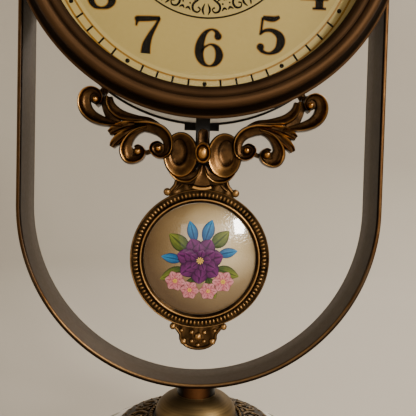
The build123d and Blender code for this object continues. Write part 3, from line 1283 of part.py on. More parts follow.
def make_medallion_frame():
    """Ring with a rim, a beaded channel and a nose, a crown above and a ball finial below."""
    channel_middle = (RIM_INNER + CHANNEL_INNER) / 2
    nose_middle = (CHANNEL_INNER + PORCELAIN_SIGHT) / 2
    rim_middle = (MEDALLION_RADIUS + RIM_INNER) / 2
    ring = turned_about(
        MEDALLION_HEIGHT,
        (MEDALLION_RADIUS, ROD_FRONT),
        (MEDALLION_RADIUS, RING_FRONT),
        ((rim_middle, RING_FRONT - RING_RIM / 2), (RIM_INNER, RING_FRONT)),
        (channel_middle + BEAD_RADIUS, RING_FRONT),
        ((channel_middle, RING_FRONT - BEAD_RADIUS), (channel_middle - BEAD_RADIUS, RING_FRONT)),
        (CHANNEL_INNER, RING_FRONT),
        ((nose_middle, RING_FRONT - RING_NOSE), (PORCELAIN_SIGHT, RING_FRONT)),
        (PORCELAIN_SIGHT, RING_FRONT + RING_LIP),
        (PORCELAIN_SEAT, RING_FRONT + RING_LIP),
        (PORCELAIN_SEAT, ROD_FRONT),
    )
    ear_rise = MEDALLION_RADIUS - CROWN_EAR_DROP
    crown_top = MEDALLION_RADIUS + CROWN_HEIGHT
    crown_root = math.sqrt(RIM_INNER ** 2 - CROWN_HALF_WIDTH ** 2)
    crown = polygon(
        (-CROWN_HALF_WIDTH, ear_rise),
        (-CROWN_TOP_HALF_WIDTH, crown_top),
        (CROWN_TOP_HALF_WIDTH, crown_top),
        (CROWN_HALF_WIDTH, ear_rise),
        (CROWN_HALF_WIDTH, crown_root),
        (0.0, RIM_INNER),
        (-CROWN_HALF_WIDTH, crown_root),
    )
    ear_drop = MEDALLION_RADIUS - FINIAL_EAR_RISE
    side_drop = MEDALLION_RADIUS + FINIAL_SIDE[1]
    tip_drop = MEDALLION_RADIUS + FINIAL_LENGTH
    finial_root = math.sqrt(RIM_INNER ** 2 - FINIAL_HALF_WIDTH ** 2)
    finial = polygon(
        (-FINIAL_HALF_WIDTH, -ear_drop),
        (-FINIAL_HALF_WIDTH, -finial_root),
        (0.0, -RIM_INNER),
        (FINIAL_HALF_WIDTH, -finial_root),
        (FINIAL_HALF_WIDTH, -ear_drop),
        (FINIAL_SIDE[0], -side_drop),
        (0.0, -tip_drop),
        (-FINIAL_SIDE[0], -side_drop),
    )
    frame = ring + slab(Pos(0, MEDALLION_HEIGHT) * crown, RING_FRONT, ROD_FRONT)
    frame += slab(Pos(0, MEDALLION_HEIGHT) * finial, RING_FRONT, ROD_FRONT)
    for side in (-1, 1):
        frame += ball(side * CROWN_HALF_WIDTH, ear_rise, CROWN_BALL_RADIUS)
        frame += ball(side * FINIAL_HALF_WIDTH, -ear_drop, FINIAL_BALL_RADIUS)
        frame += ball(side * FINIAL_SIDE[0], -side_drop, FINIAL_BALL_RADIUS)
    frame += ball(0.0, -tip_drop, FINIAL_TIP_RADIUS)
    frame -= pin(PORCELAIN_SEAT, RING_FRONT + RING_LIP, ROD_FRONT, 0.0, MEDALLION_HEIGHT)
    depth = SMALL_SCREW_LENGTH + SEAT_GAP
    hole = SMALL_SCREW_RADIUS + SEAT_GAP
    for height in rod_screw_heights():
        frame -= pin(hole, ROD_FRONT - depth, ROD_FRONT, 0.0, height)
    for x, height in back_plate_screw_places():
        frame -= pin(hole, ROD_FRONT - depth, ROD_FRONT, x, height)
    return frame


def make_porcelain_cabochon():
    """Domed disc with a flange behind the ring's nose."""
    flange = PORCELAIN_SEAT - SLIDE_FIT
    sight = PORCELAIN_SIGHT - SLIDE_FIT
    shoulder = RING_FRONT + RING_LIP + SEAT_GAP
    crest = shoulder - PORCELAIN_RISE
    curve = (sight ** 2 + PORCELAIN_RISE ** 2) / (2 * PORCELAIN_RISE)
    half = sight / 2
    middle = (half, crest + curve - math.sqrt(curve ** 2 - half ** 2))
    return turned_about(
        MEDALLION_HEIGHT,
        (0.0, ROD_FRONT - SEAT_GAP),
        (flange, ROD_FRONT - SEAT_GAP),
        (flange, shoulder),
        (sight, shoulder),
        (middle, (0.0, crest)),
    )


def make_medallion_back_plate():
    back = ROD_FRONT + BACK_PLATE_THICKNESS
    plate = pin(BACK_PLATE_RADIUS, ROD_FRONT, back, 0.0, MEDALLION_HEIGHT)
    for x, height in back_plate_screw_places():
        plate -= pin(SMALL_SCREW_RADIUS + SEAT_GAP, ROD_FRONT, back, x, height)
    return plate


def make_medallion_screws():
    back = ROD_FRONT + BACK_PLATE_THICKNESS
    screws = []
    for x, height in back_plate_screw_places():
        head = pin(SMALL_SCREW_HEAD_RADIUS, back, back + SMALL_SCREW_HEAD_HEIGHT, x, height)
        shank = pin(SMALL_SCREW_RADIUS, ROD_FRONT - SMALL_SCREW_LENGTH, back, x, height)
        screws.append((head + shank).solid())
    return Compound(screws)


PIECES = {
    "base_felt": make_base_felt,
    "ceramic_base": make_ceramic_base,
    "base_filigree_plate": make_filigree_plate,
    "base_dome": make_base_dome,
    "neck_collar": make_neck_collar,
    "tie_bolt": make_tie_bolt,
    "base_washer": make_base_washer,
    "base_nut": make_base_nut,
    "frame_band": make_frame_band,
    "frame_screws": make_frame_screws,
    "frame_nuts": make_frame_nuts,
    "case_drum": make_case_drum,
    "front_bezel": make_front_bezel,
    "bezel_screws": make_bezel_screws,
    "glass_lens": make_glass_lens,
    "dial_spacer_ring": make_dial_spacer_ring,
    "dial_plate": make_dial_plate,
    "dial_retaining_ring": make_dial_retaining_ring,
    "back_cover": make_back_cover,
    "back_cover_screws": make_back_cover_screws,
    "access_door": make_access_door,
    "door_hinge_pin": make_door_hinge_pin,
    "movement_front_shell": make_movement_front_shell,
    "movement_rear_shell": make_movement_rear_shell,
    "train_bridge": make_train_bridge,
    "center_washer": make_center_washer,
    "center_nut": make_center_nut,
    "rotor": make_rotor,
    "intermediate_wheel": make_intermediate_wheel,
    "seconds_wheel": make_seconds_wheel,
    "third_wheel": make_third_wheel,
    "center_wheel": make_center_wheel,
    "minute_wheel": make_minute_wheel,
    "set_knob": make_set_knob,
    "hour_wheel": make_hour_wheel,
    "stator": make_stator,
    "drive_coil": make_drive_coil,
    "circuit_board": make_circuit_board,
    "quartz_crystal": make_quartz_crystal,
    "battery": make_battery,
    "battery_contact_plus": make_battery_contact_plus,
    "battery_contact_minus": make_battery_contact_minus,
    "hour_hand": make_hour_hand,
    "minute_hand": make_minute_hand,
    "second_hand": make_second_hand,
    "scroll_ornament": make_scroll_ornament,
    "scroll_screws": make_scroll_screws,
    "pivot_pin": make_pivot_pin,
    "pendulum_coil": make_pendulum_coil,
    "hanger_arm": make_hanger_arm,
    "drive_magnet": make_drive_magnet,
    "pendulum_rod": make_pendulum_rod,
    "rod_screws": make_rod_screws,
    "medallion_frame": make_medallion_frame,
    "porcelain_cabochon": make_porcelain_cabochon,
    "medallion_back_plate": make_medallion_back_plate,
    "medallion_screws": make_medallion_screws,
}

os.makedirs("parts", exist_ok=True)
for name, make in PIECES.items():
    export_step(make(), f"parts/{name}.step")
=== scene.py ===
from math import atan2, cos, hypot, log, pi, radians, sin, sqrt

import bmesh
import bpy
from mathutils import Matrix, Vector


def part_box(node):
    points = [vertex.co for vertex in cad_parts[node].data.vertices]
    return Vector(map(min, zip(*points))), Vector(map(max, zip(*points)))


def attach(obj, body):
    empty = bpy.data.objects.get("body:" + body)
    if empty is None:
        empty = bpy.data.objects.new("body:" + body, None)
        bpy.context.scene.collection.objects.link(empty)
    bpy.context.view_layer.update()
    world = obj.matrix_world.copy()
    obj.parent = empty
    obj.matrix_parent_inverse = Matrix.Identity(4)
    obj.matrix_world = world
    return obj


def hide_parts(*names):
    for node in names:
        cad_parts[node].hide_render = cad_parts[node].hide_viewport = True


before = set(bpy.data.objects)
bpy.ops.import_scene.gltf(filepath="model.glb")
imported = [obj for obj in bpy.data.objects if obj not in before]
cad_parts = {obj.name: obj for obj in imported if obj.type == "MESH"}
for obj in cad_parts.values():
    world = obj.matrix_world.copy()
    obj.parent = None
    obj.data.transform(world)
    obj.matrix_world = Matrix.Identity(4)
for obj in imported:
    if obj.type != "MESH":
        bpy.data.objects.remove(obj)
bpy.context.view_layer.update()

# Millimetres are used up to the point where a mesh is made.
MM = 0.001
TURN = 2 * pi


def limits(node):
    """Lowest and highest corner of a solid, in millimetres."""
    low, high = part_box(node)
    return low / MM, high / MM


def middle_height(node):
    low, high = limits(node)
    return (low.z + high.z) / 2


def polar(radius, angle):
    return (radius * cos(angle), radius * sin(angle))


def angles(count):
    """Angles spaced evenly round the circle."""
    return [TURN * i / count for i in range(count)]


def linked(name, data):
    thing = bpy.data.objects.new(name, data)
    bpy.context.scene.collection.objects.link(thing)
    return thing


# Places taken from the solids
DIAL_Z = middle_height("dial_plate")
DIAL_FACE = limits("dial_plate")[0].y
DRUM_LOW = limits("case_drum")[0].z
BEZEL_BACK = limits("front_bezel")[1].y
MEDAL_Z = middle_height("porcelain_cabochon")
RING_BACK = limits("medallion_frame")[1].y
PORCELAIN_CREST = limits("porcelain_cabochon")[0].y
BAND_LOW, BAND_HIGH = limits("frame_band")
DOME_LOW = limits("base_dome")[0].z
NECK_RADIUS = limits("neck_collar")[1].x

# Scroll casting
SCROLL_BACK = -14.5
SCROLL_RELIEF = 6
SCROLL_GROUND = 2.4

# Porcelain dome: the circle that its front follows
PORCELAIN_SIGHT = 28.9
PORCELAIN_RISE = 4
PORCELAIN_SPHERE = (PORCELAIN_SIGHT ** 2 + PORCELAIN_RISE ** 2) / (2 * PORCELAIN_RISE)

# Ceramic foot: the crown's sphere, and the bend outside it
CROWN_SPHERE = 116
CROWN_CENTER = -60
SHOULDER = 62
BEND = 26
BEND_RADIUS = SHOULDER - BEND * SHOULDER / CROWN_SPHERE
BEND_HEIGHT = CROWN_CENTER + sqrt(CROWN_SPHERE ** 2 - SHOULDER ** 2) * (1 - BEND / CROWN_SPHERE)


class Shape:
    """A mesh in the making: points, faces, and two marks on each point that the materials read."""

    def __init__(self):
        self.points = []
        self.faces = []
        self.tone = []
        self.side = []

    def add(self, point, tone=0, side=0):
        self.points.append(tuple(point))
        self.tone.append(tone)
        self.side.append(side)
        return len(self.points) - 1

    def skin(self, rows, wrap_rows=False, wrap_columns=False):
        width = len(rows[0])
        for here, there in zip(rows, rows[1:] + (rows[:1] if wrap_rows else [])):
            for j in range(width if wrap_columns else width - 1):
                k = (j + 1) % width
                self.faces.append((here[j], here[k], there[k], there[j]))

    def mirror(self):
        """Adds the same shape on the other side of the middle plane."""
        shift = len(self.points)
        self.points += [(-x, y, z) for x, y, z in self.points]
        self.tone += self.tone
        self.side += self.side
        self.faces += [tuple(shift + i for i in reversed(face)) for face in self.faces]

    def tube(self, rows, ends=(0, -1)):
        """Skin round the rows, closed at the given ends."""
        self.skin(rows, wrap_columns=True)
        self.faces += [tuple(rows[end]) for end in ends]

    def build(self, name, material, sharp=42):
        """Turns the shape into a Blender object."""
        mesh = bpy.data.meshes.new(name)
        mesh.from_pydata([tuple(c * MM for c in point) for point in self.points], [], self.faces)
        for mark, values in (("tone", self.tone), ("side", self.side)):
            layer = mesh.attributes.new(mark, "FLOAT", "POINT")
            layer.data.foreach_set("value", values)
        work = bmesh.new()
        work.from_mesh(mesh)
        bmesh.ops.recalc_face_normals(work, faces=work.faces)
        work.to_mesh(mesh)
        work.free()
        mesh.shade_smooth()
        mesh.set_sharp_from_angle(angle=radians(sharp))
        mesh.materials.append(material)
        return linked(name, mesh)

    def make(self, name, body, slot, material, nodes=(), sharp=42):
        """Turns the shape into a piece that rides on a body and stands for the named solids."""
        piece = self.build(name, material, sharp)
        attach(piece, body)
        if nodes:
            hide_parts(*nodes)


def spline(points, steps):
    """Points on a smooth line through the given ones; every number in them is blended."""
    run = [points[0], *points, points[-1]]
    line = []
    for corners in zip(run, run[1:], run[2:], run[3:]):
        for k in range(steps):
            line.append(tuple(blend(k / steps, *values) for values in zip(*corners)))
    line.append(tuple(points[-1]))
    return line


def blend(t, a, b, c, d):
    square = 2 * a - 5 * b + 4 * c - d
    cube = 3 * b - a - 3 * c + d
    return 0.5 * (2 * b + (c - a) * t + square * t ** 2 + cube * t ** 3)


def ribbon(shape, path, section, place, outer=1, height=1, steps=8):
    """Sweeps a section along a path of (a, b, half width). The section's first number runs across."""
    line = spline(path, steps)
    last = len(line) - 1
    rows = []
    for i, (a, b, half) in enumerate(line):
        before = line[max(i - 1, 0)]
        after = line[min(i + 1, last)]
        run = (after[0] - before[0], after[1] - before[1])
        size = hypot(*run) or 1
        across = (-run[1] / size * outer * half, run[0] / size * outer * half)
        rows.append([
            shape.add(place(a + across[0] * u, b + across[1] * u, h * height), tone, u)
            for u, h, tone in section
        ])
    shape.tube(rows)


def even(*half):
    """Section with two like sides, given by its left half."""
    return half + tuple((-u, h, tone) for u, h, tone in reversed(half) if u)


def turned(shape, profile, place, segments=192, closed=True):
    """Turns a profile of (radius, depth, tone) about an axis."""
    rows = [[shape.add(place(*polar(r, angle), d), tone) for r, d, tone in profile]
            for angle in angles(segments)]
    shape.skin(rows, wrap_rows=True, wrap_columns=closed)


def knob(shape, center, axes, tones, power, rings, segments, arc=pi):
    """Rounded boss on three axes, the last one outward; its tone goes from root to crest."""
    rows = []
    for i in range(rings + 1):
        wide, front = sin(arc * i / rings), cos(arc * i / rings)
        tone = tones[0] + (tones[1] - tones[0]) * ((1 + front) / 2) ** power
        rows.append([
            shape.add([c + a * wide * cos(angle) + b * wide * sin(angle) + out * front
                       for c, a, b, out in zip(center, *axes)], tone)
            for angle in angles(segments)
        ])
    shape.skin(rows, wrap_columns=True)


def ball(shape, center, wide, deep, tall):
    """Small boss that faces the front."""
    knob(shape, center, ((wide, 0, 0), (0, 0, tall), (0, -deep, 0)), (0.15, 1), power=2, rings=8, segments=16)


# Ovals with a tone above this one get a painted highlight on their lower sides.
LIT_ABOVE = 0.18


def contours(shape, loops, place, segments=64, lit=0):
    """Skin over nested ovals of (a, b, half sizes, height, tone); lit adds a painted highlight to their lower
    sides.
    """
    rows = []
    for a, b, wide, tall, h, tone in loops:
        # Painted highlight, strongest at the bottom of each oval.
        glow = lit if tone > LIT_ABOVE else 0
        rows.append([
            shape.add(place(a + wide * cos(angle), b + tall * sin(angle), h),
                      tone + glow * max(0, -sin(angle)))
            for angle in angles(segments)
        ])
    shape.tube(rows)


def disc(shape, a, b, radius, place, height, segments=20):
    rim = [polar(radius, angle) for angle in angles(segments)]
    shape.tube([[shape.add(place(a + x, b + y, h)) for x, y in rim] for h in (0, height)])


# Where flat coordinates land on each surface: a across, b up, h out of the surface.


def on_scroll(a, b, h):
    return (a, SCROLL_BACK - h, DRUM_LOW + b)


def on_dial(a, b, h):
    return (a, DIAL_FACE - h, DIAL_Z + b)


def about_dial(a, b, depth):
    return (a, depth, DIAL_Z + b)


def about_medallion(a, b, depth):
    return (a, depth, MEDAL_Z + b)


def on_medallion(a, b, h):
    return (a, RING_BACK - h, MEDAL_Z + b)


def on_porcelain(a, b, h):
    sag = PORCELAIN_SPHERE - sqrt(PORCELAIN_SPHERE ** 2 - a * a - b * b)
    return (a, PORCELAIN_CREST + sag - h, MEDAL_Z + b)


def foot_height(radius):
    if radius < SHOULDER:
        return CROWN_CENTER + sqrt(CROWN_SPHERE ** 2 - radius ** 2)
    return BEND_HEIGHT + sqrt(max(BEND ** 2 - (radius - BEND_RADIUS) ** 2, 0))


def on_foot(a, b, h):
    return (a, b, foot_height(hypot(a, b)) + h)


def about_upright(a, b, height):
    return (a, b, height)


# Materials


class Paint:
    """A procedural material, built node by node."""

    def __init__(self, name, **sockets):
        self.material = bpy.data.materials.new(name)
        self.material.use_nodes = True
        self.tree = self.material.node_tree
        self.shader = self.tree.nodes["Principled BSDF"]
        for socket, value in sockets.items():
            self.shader.inputs[socket.replace("_", " ")].default_value = value

    def node(self, kind, inputs=(), **settings):
        made = self.tree.nodes.new("ShaderNode" + kind)
        for key, value in settings.items():
            setattr(made, key, value)
        for key, value in dict(inputs).items():
            self.feed(made.inputs[key], value)
        return made

    def feed(self, socket, value):
        if isinstance(value, bpy.types.NodeSocket):
            self.tree.links.new(value, socket)
        else:
            socket.default_value = value

    def to(self, socket, value):
        self.feed(self.shader.inputs[socket], value)

    def spot(self):
        """Place on the piece at rest, in metres."""
        return self.node("TexCoord").outputs["Object"]

    def mark(self, name):
        return self.node("Attribute", attribute_name=name).outputs["Fac"]

    def noise(self, scale, detail=3, rough=0.55):
        inputs = {"Scale": scale, "Detail": detail, "Roughness": rough, "Vector": self.spot()}
        return self.node("TexNoise", inputs).outputs["Fac"]

    def math(self, operation, a, b=0, clamp=False):
        made = self.node("Math", operation=operation, use_clamp=clamp)
        for i, value in enumerate((a, b)):
            self.feed(made.inputs[i], value)
        return made.outputs[0]

    def ramp(self, value, *stops):
        """Colours the surface along stops of (value, colour)."""
        made = self.node("ValToRGB", {"Fac": value})
        elements = made.color_ramp.elements
        while len(elements) < len(stops):
            elements.new(0.5)
        for element, (position, color) in zip(elements, stops):
            element.position = position
            element.color = (*color, 1)
        self.to("Base Color", made.outputs["Color"])

    def mix(self, value, a, b):
        made = self.node("Mix", data_type="RGBA")
        self.feed(made.inputs["Factor"], value)
        for key, color in (("A", a), ("B", b)):
            socket = next(s for s in made.inputs if s.name == key and s.type == "RGBA")
            self.feed(socket, color if isinstance(color, bpy.types.NodeSocket) else (*color, 1))
        return next(s for s in made.outputs if s.type == "RGBA")

    def span(self, value, low, high):
        made = self.node("MapRange", {"Value": value, "To Min": low, "To Max": high})
        return made.outputs["Result"]

    def bump(self, value, strength, distance):
        made = self.node("Bump", {"Height": value, "Strength": strength, "Distance": distance})
        self.to("Normal", made.outputs["Normal"])

    def color(self, value, a, b):
        self.to("Base Color", self.mix(value, a, b))

    def rough(self, scale, low, high, detail=3):
        self.to("Roughness", self.span(self.noise(scale, detail), low, high))

    def cloud(self, value, scale, reach, detail=3):
        """The value made uneven by noise, kept between 0 and 1."""
        return self.math("ADD", value, self.span(self.noise(scale, detail), -reach, reach), clamp=True)

    def away(self, axes, center=(0, 0)):
        """Distance in metres, along the named axes, from a point given in millimetres."""
        parts = self.node("SeparateXYZ", {"Vector": self.spot()}).outputs
        squares = [self.math("POWER", self.math("SUBTRACT", parts[axis], start * MM), 2)
                   for axis, start in zip(axes, center)]
        return self.math("SQRT", self.math("ADD", *squares))


def aged_metal(name, dark, warm, bright, rough=(0.3, 0.5)):
    """Cast metal: dark in the hollows, warm and then bright as its mark rises; the mark holds rubbed wear
    and, in places, painted highlights and painted shade.
    """
    paint = Paint(name, Metallic=1)
    wear_and_light = paint.cloud(paint.mark("tone"), 220, 0.3, 4)
    paint.ramp(wear_and_light, (0, dark), (0.38, warm), (1, bright))
    paint.rough(900, *rough)
    paint.bump(paint.noise(1400), 0.25, 0.0002)
    return paint.material


def brushed_metal(name, axes, center, dark, bright, rough, marked=False):
    """Turned metal with fine rings about its axis; a marked one is darker where its tone is low."""
    paint = Paint(name, Metallic=1)
    inputs = {"W": paint.away(axes, center), "Scale": 1300, "Detail": 4}
    rings = paint.node("TexNoise", inputs, noise_dimensions="1D").outputs["Fac"]
    value = paint.math("ADD", paint.span(rings, 0, 0.6), paint.span(paint.noise(60), 0, 0.4))
    if marked:
        value = paint.math("MULTIPLY", value, paint.span(paint.mark("tone"), 0, 1.6), clamp=True)
    paint.ramp(value, (0.12, dark), (0.75, bright))
    paint.to("Roughness", paint.span(rings, *rough))
    paint.bump(rings, 0.2, 0.00015)
    return paint.material


def satin(name, color, other, rough, metallic=0, bump=0.15, shine=0.5):
    """Painted, moulded or plain metal surface with fine grain and slight clouding."""
    paint = Paint(name, Metallic=metallic, Specular_IOR_Level=shine)
    paint.color(paint.noise(90, 4), color, other)
    paint.rough(900, *rough)
    paint.bump(paint.noise(1440, 2), bump, 0.0002)
    return paint.material


def glaze(name, color, other):
    """Glossy glaze with slow waves."""
    paint = Paint(name, Coat_Weight=0.6, Coat_Roughness=0.04)
    paint.color(paint.noise(35), color, other)
    paint.rough(300, 0.12, 0.22)
    paint.bump(paint.noise(45, 2), 0.05, 0.001)
    return paint.material


# Pale part of the porcelain, from the dome's middle, and how far its shading reaches
PALE_SPOT = (10, 8)
SHADE_REACH = 42


def crackled_glaze(name, pale, brown, deep):
    """Cream glaze with fine crazing, browner toward the rim and the lower left."""
    paint = Paint(name, Coat_Weight=1, Coat_Roughness=0.04, Specular_IOR_Level=0.25)
    reach = paint.cloud(paint.away("XZ", (PALE_SPOT[0], MEDAL_Z + PALE_SPOT[1])), 90, 0.0025)
    shade = paint.math("DIVIDE", reach, SHADE_REACH * MM, clamp=True)
    paint.ramp(shade, (0.25, pale), (0.57, brown), (0.9, deep))
    paint.rough(300, 0.12, 0.22)
    cells = paint.node("TexVoronoi", {"Scale": 620, "Vector": paint.spot()}, feature="DISTANCE_TO_EDGE")
    paint.bump(paint.math("MULTIPLY", cells.outputs["Distance"], 3, clamp=True), 0.15, 0.00025)
    return paint.material


def enamel(name, root, tip, edge):
    """Brushed-on colour that fades from root to tip and darkens at its sides and veins."""
    paint = Paint(name, Coat_Weight=0.3, Coat_Roughness=0.05, Roughness=0.4, Specular_IOR_Level=0.1)
    body = paint.mix(paint.cloud(paint.mark("tone"), 700, 0.25), root, tip)
    side = paint.math("ABSOLUTE", paint.mark("side"))
    rim = paint.math("POWER", side, 3.5)
    vein = paint.math("LESS_THAN", side, 0.09)
    veins = paint.math("SINE", paint.math("MULTIPLY", side, 16))
    line = paint.math("MAXIMUM", rim, paint.span(vein, 0, 0.7))
    line = paint.math("MAXIMUM", line, paint.span(veins, 0, 0.3), clamp=True)
    paint.color(line, body, edge)
    return paint.material


# Inside this radius the dial is a shade deeper
TRACK_SHADE = 73.5


def printed_dial():
    """Cream dial, a shade deeper inside the minute track, with a faint print grain."""
    paint = Paint("dial_print", Roughness=0.55, Specular_IOR_Level=0.2)
    inside = paint.math("LESS_THAN", paint.away("XZ", (0, DIAL_Z)), TRACK_SHADE * MM)
    cream = paint.mix(paint.noise(1500, 2), (0.4, 0.302, 0.095), (0.46, 0.35, 0.122))
    khaki = paint.mix(paint.noise(700), (0.335, 0.248, 0.071), (0.39, 0.293, 0.091))
    paint.color(inside, cream, khaki)
    paint.bump(paint.noise(2500, 2), 0.06, 0.0001)
    return paint.material


def lens_glass():
    """Clear flat glass with a faint film of dust."""
    paint = Paint("lens_glass", IOR=1.5)
    paint.color(paint.noise(60), (0.02, 0.022, 0.02), (0.03, 0.03, 0.028))
    paint.rough(40, 0.02, 0.05)
    paint.to("Alpha", paint.span(paint.noise(25), 0.03, 0.05))
    return paint.material


def felt():
    paint = Paint("green_felt", Roughness=0.95)
    fibres = paint.noise(2600, 5, 0.7)
    paint.color(fibres, (0.02, 0.06, 0.03), (0.06, 0.13, 0.07))
    paint.bump(fibres, 0.6, 0.0005)
    return paint.material


def winding():
    """Lacquered copper turns."""
    paint = Paint("copper_turns", Metallic=1, Roughness=0.35)
    wave = paint.node("TexWave", {"Scale": 900, "Distortion": 0.4, "Vector": paint.spot()}).outputs["Fac"]
    paint.color(wave, (0.2, 0.06, 0.02), (0.6, 0.25, 0.1))
    paint.bump(wave, 0.5, 0.0003)
    return paint.material


def band_metal(name, *stops):
    """Satin bronze band with coppery front edges, and the painted shade and painted highlight that its mark
    carries on the bends.
    """
    paint = Paint(name, Metallic=1)
    value = paint.cloud(paint.cloud(paint.mark("tone"), 120, 0.12, 4), 420, 0.06, 4)
    paint.ramp(value, *stops)
    paint.rough(420, 0.34, 0.5, 4)
    paint.bump(paint.noise(1500, 2), 0.1, 0.0001)
    return paint.material


def neck_metal(name, dark, bright):
    """Turned copper, painted dark at the sides and bright in front and behind: painted shade and painted
    reflection on the round neck.
    """
    paint = Paint(name, Metallic=1)
    # Painted shade at the sides, painted reflection in front and behind, by distance from the middle plane.
    aside = paint.math("DIVIDE", paint.away("X"), NECK_RADIUS * MM)
    paint.ramp(paint.cloud(aside, 220, 0.1), (0.15, bright), (0.7, dark))
    paint.rough(900, 0.26, 0.36)
    return paint.material


def paper():
    """Plain studio ground."""
    paint = Paint("studio_paper", Roughness=0.85)
    paint.color(paint.noise(8), (0.47, 0.421, 0.348), (0.485, 0.436, 0.363))
    return paint.material


BRONZE = aged_metal("bronze_cast", (0.007, 0.004, 0.002), (0.065, 0.031, 0.0105), (0.4, 0.2, 0.056),
                    (0.22, 0.38))
RING_BRONZE = aged_metal("bronze_ring", (0.008, 0.005, 0.002), (0.072, 0.037, 0.0135), (0.35, 0.19, 0.065))
FILIGREE = aged_metal("bronze_filigree", (0.006, 0.004, 0.002), (0.046, 0.028, 0.013), (0.16, 0.1, 0.043))
BEZEL = brushed_metal("bronze_bezel", "XZ", (0, DIAL_Z), (0.009, 0.005, 0.0025), (0.075, 0.038, 0.0165),
                      (0.56, 0.7), marked=True)
BRASS = brushed_metal("brass_dome", "XY", (0, 0), (0.055, 0.034, 0.0135), (0.19, 0.125, 0.051), (0.4, 0.54))
BAND = band_metal("band_bronze", (0, (0.006, 0.004, 0.003)), (0.15, (0.02, 0.011, 0.006)),
                  (0.38, (0.054, 0.035, 0.0205)), (0.6, (0.05, 0.022, 0.007)), (1, (0.25, 0.145, 0.06)))
BLACK_STEEL = satin("black_steel", (0.005, 0.004, 0.0035), (0.01, 0.008, 0.006), (0.42, 0.55), shine=0.2)
INK = satin("dial_ink", (0.005, 0.004, 0.003), (0.01, 0.008, 0.005), (0.6, 0.75), shine=0.02)
GOLD_INK = satin("dial_gold", (0.2, 0.092, 0.003), (0.31, 0.15, 0.008), (0.35, 0.5), shine=0.25)
PURPLE = enamel("enamel_purple", (0.025, 0.002, 0.024), (0.125, 0.016, 0.11), (0.008, 0.001, 0.012))
PINK = enamel("enamel_pink", (0.36, 0.018, 0.03), (0.56, 0.24, 0.26), (0.1, 0.01, 0.03))
GREEN = enamel("enamel_green", (0.012, 0.035, 0.008), (0.15, 0.17, 0.02), (0.004, 0.012, 0.004))
BLUE = enamel("enamel_blue", (0.004, 0.03, 0.12), (0.025, 0.18, 0.36), (0.002, 0.008, 0.04))
YELLOW = enamel("enamel_yellow", (0.4, 0.2, 0.02), (0.7, 0.5, 0.1), (0.2, 0.08, 0.01))


def dress(material, names):
    """Gives the named solids their material."""
    for name in names.split():
        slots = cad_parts[name].data.materials
        slots.clear()
        slots.append(material)


dress(RING_BRONZE, "medallion_back_plate")
dress(BRASS, "center_nut")
dress(neck_metal("copper_neck", (0.004, 0.0025, 0.0015), (0.105, 0.043, 0.016)), "neck_collar")
dress(satin("drum_satin", (0.68, 0.66, 0.62), (0.76, 0.74, 0.7), (0.4, 0.55)), "case_drum")
dress(satin("black_moulded", (0.007, 0.006, 0.005), (0.013, 0.011, 0.009), (0.5, 0.65), bump=0.35,
            shine=0.12),
      "back_cover movement_front_shell movement_rear_shell hanger_arm intermediate_wheel third_wheel "
      "minute_wheel hour_wheel")
dress(satin("black_door", (0.018, 0.017, 0.015), (0.028, 0.026, 0.023), (0.38, 0.5), bump=0.35, shine=0.4),
      "access_door")
dress(BLACK_STEEL, "pendulum_rod second_hand")
dress(satin("bright_steel", (0.45, 0.44, 0.43), (0.58, 0.57, 0.55), (0.2, 0.36), metallic=1),
      "tie_bolt base_washer base_nut frame_screws frame_nuts bezel_screws dial_retaining_ring "
      "back_cover_screws door_hinge_pin center_washer stator quartz_crystal battery_contact_plus "
      "battery_contact_minus scroll_screws pivot_pin rod_screws medallion_screws drive_magnet")
dress(satin("white_moulded", (0.62, 0.61, 0.57), (0.7, 0.69, 0.65), (0.4, 0.55)),
      "train_bridge rotor seconds_wheel center_wheel set_knob")
dress(satin("board_lacquer", (0.01, 0.09, 0.035), (0.02, 0.14, 0.05), (0.25, 0.4)), "circuit_board")
dress(satin("cell_sleeve", (0.02, 0.07, 0.16), (0.03, 0.1, 0.2), (0.25, 0.35)), "battery")
dress(satin("spacer_brown", (0.05, 0.026, 0.014), (0.075, 0.04, 0.022), (0.4, 0.6)), "dial_spacer_ring")
dress(winding(), "drive_coil pendulum_coil")
dress(felt(), "base_felt")
dress(lens_glass(), "glass_lens")
dress(printed_dial(), "dial_plate")
dress(crackled_glaze("porcelain_cream", (0.42, 0.325, 0.18), (0.172, 0.113, 0.048), (0.07, 0.036, 0.011)),
      "porcelain_cabochon")
dress(glaze("ceramic_white", (0.62, 0.59, 0.54), (0.7, 0.67, 0.62)), "ceramic_base")


# Scroll casting

# Section across a scroll: from the inner edge, over the hollow, to the rolled outer rim.
ROLLED = (
    (-1, 0, 0), (-1, 0.42, 0), (-0.9, 0.55, 0.08), (-0.68, 0.58, 0.14), (-0.3, 0.58, 0.18),
    (0.1, 0.64, 0.24), (0.34, 0.75, 0.3), (0.48, 0.88, 0.5), (0.6, 0.98, 0.95), (0.71, 1, 1),
    (0.82, 0.93, 0.5), (0.92, 0.78, 0.05), (1, 0.55, 0), (1, 0, 0),
)
# Section across a leaf: a hollow between two rims.
FLUTED = (
    (-1, 0, 0), (-1, 0.5, 0), (-0.92, 0.76, 0.15), (-0.8, 0.9, 0.95), (-0.62, 0.84, 0.6),
    (-0.25, 0.66, 0.22), (0.2, 0.64, 0.2), (0.5, 0.8, 0.4), (0.7, 0.98, 1), (0.82, 0.92, 0.7),
    (0.93, 0.72, 0.05), (1, 0.5, 0), (1, 0, 0),
)
# Section across the plain ground behind them.
FLAT = even((-1, 0, 0), (-1, 0.7, 0), (-0.8, 1, 0.08))
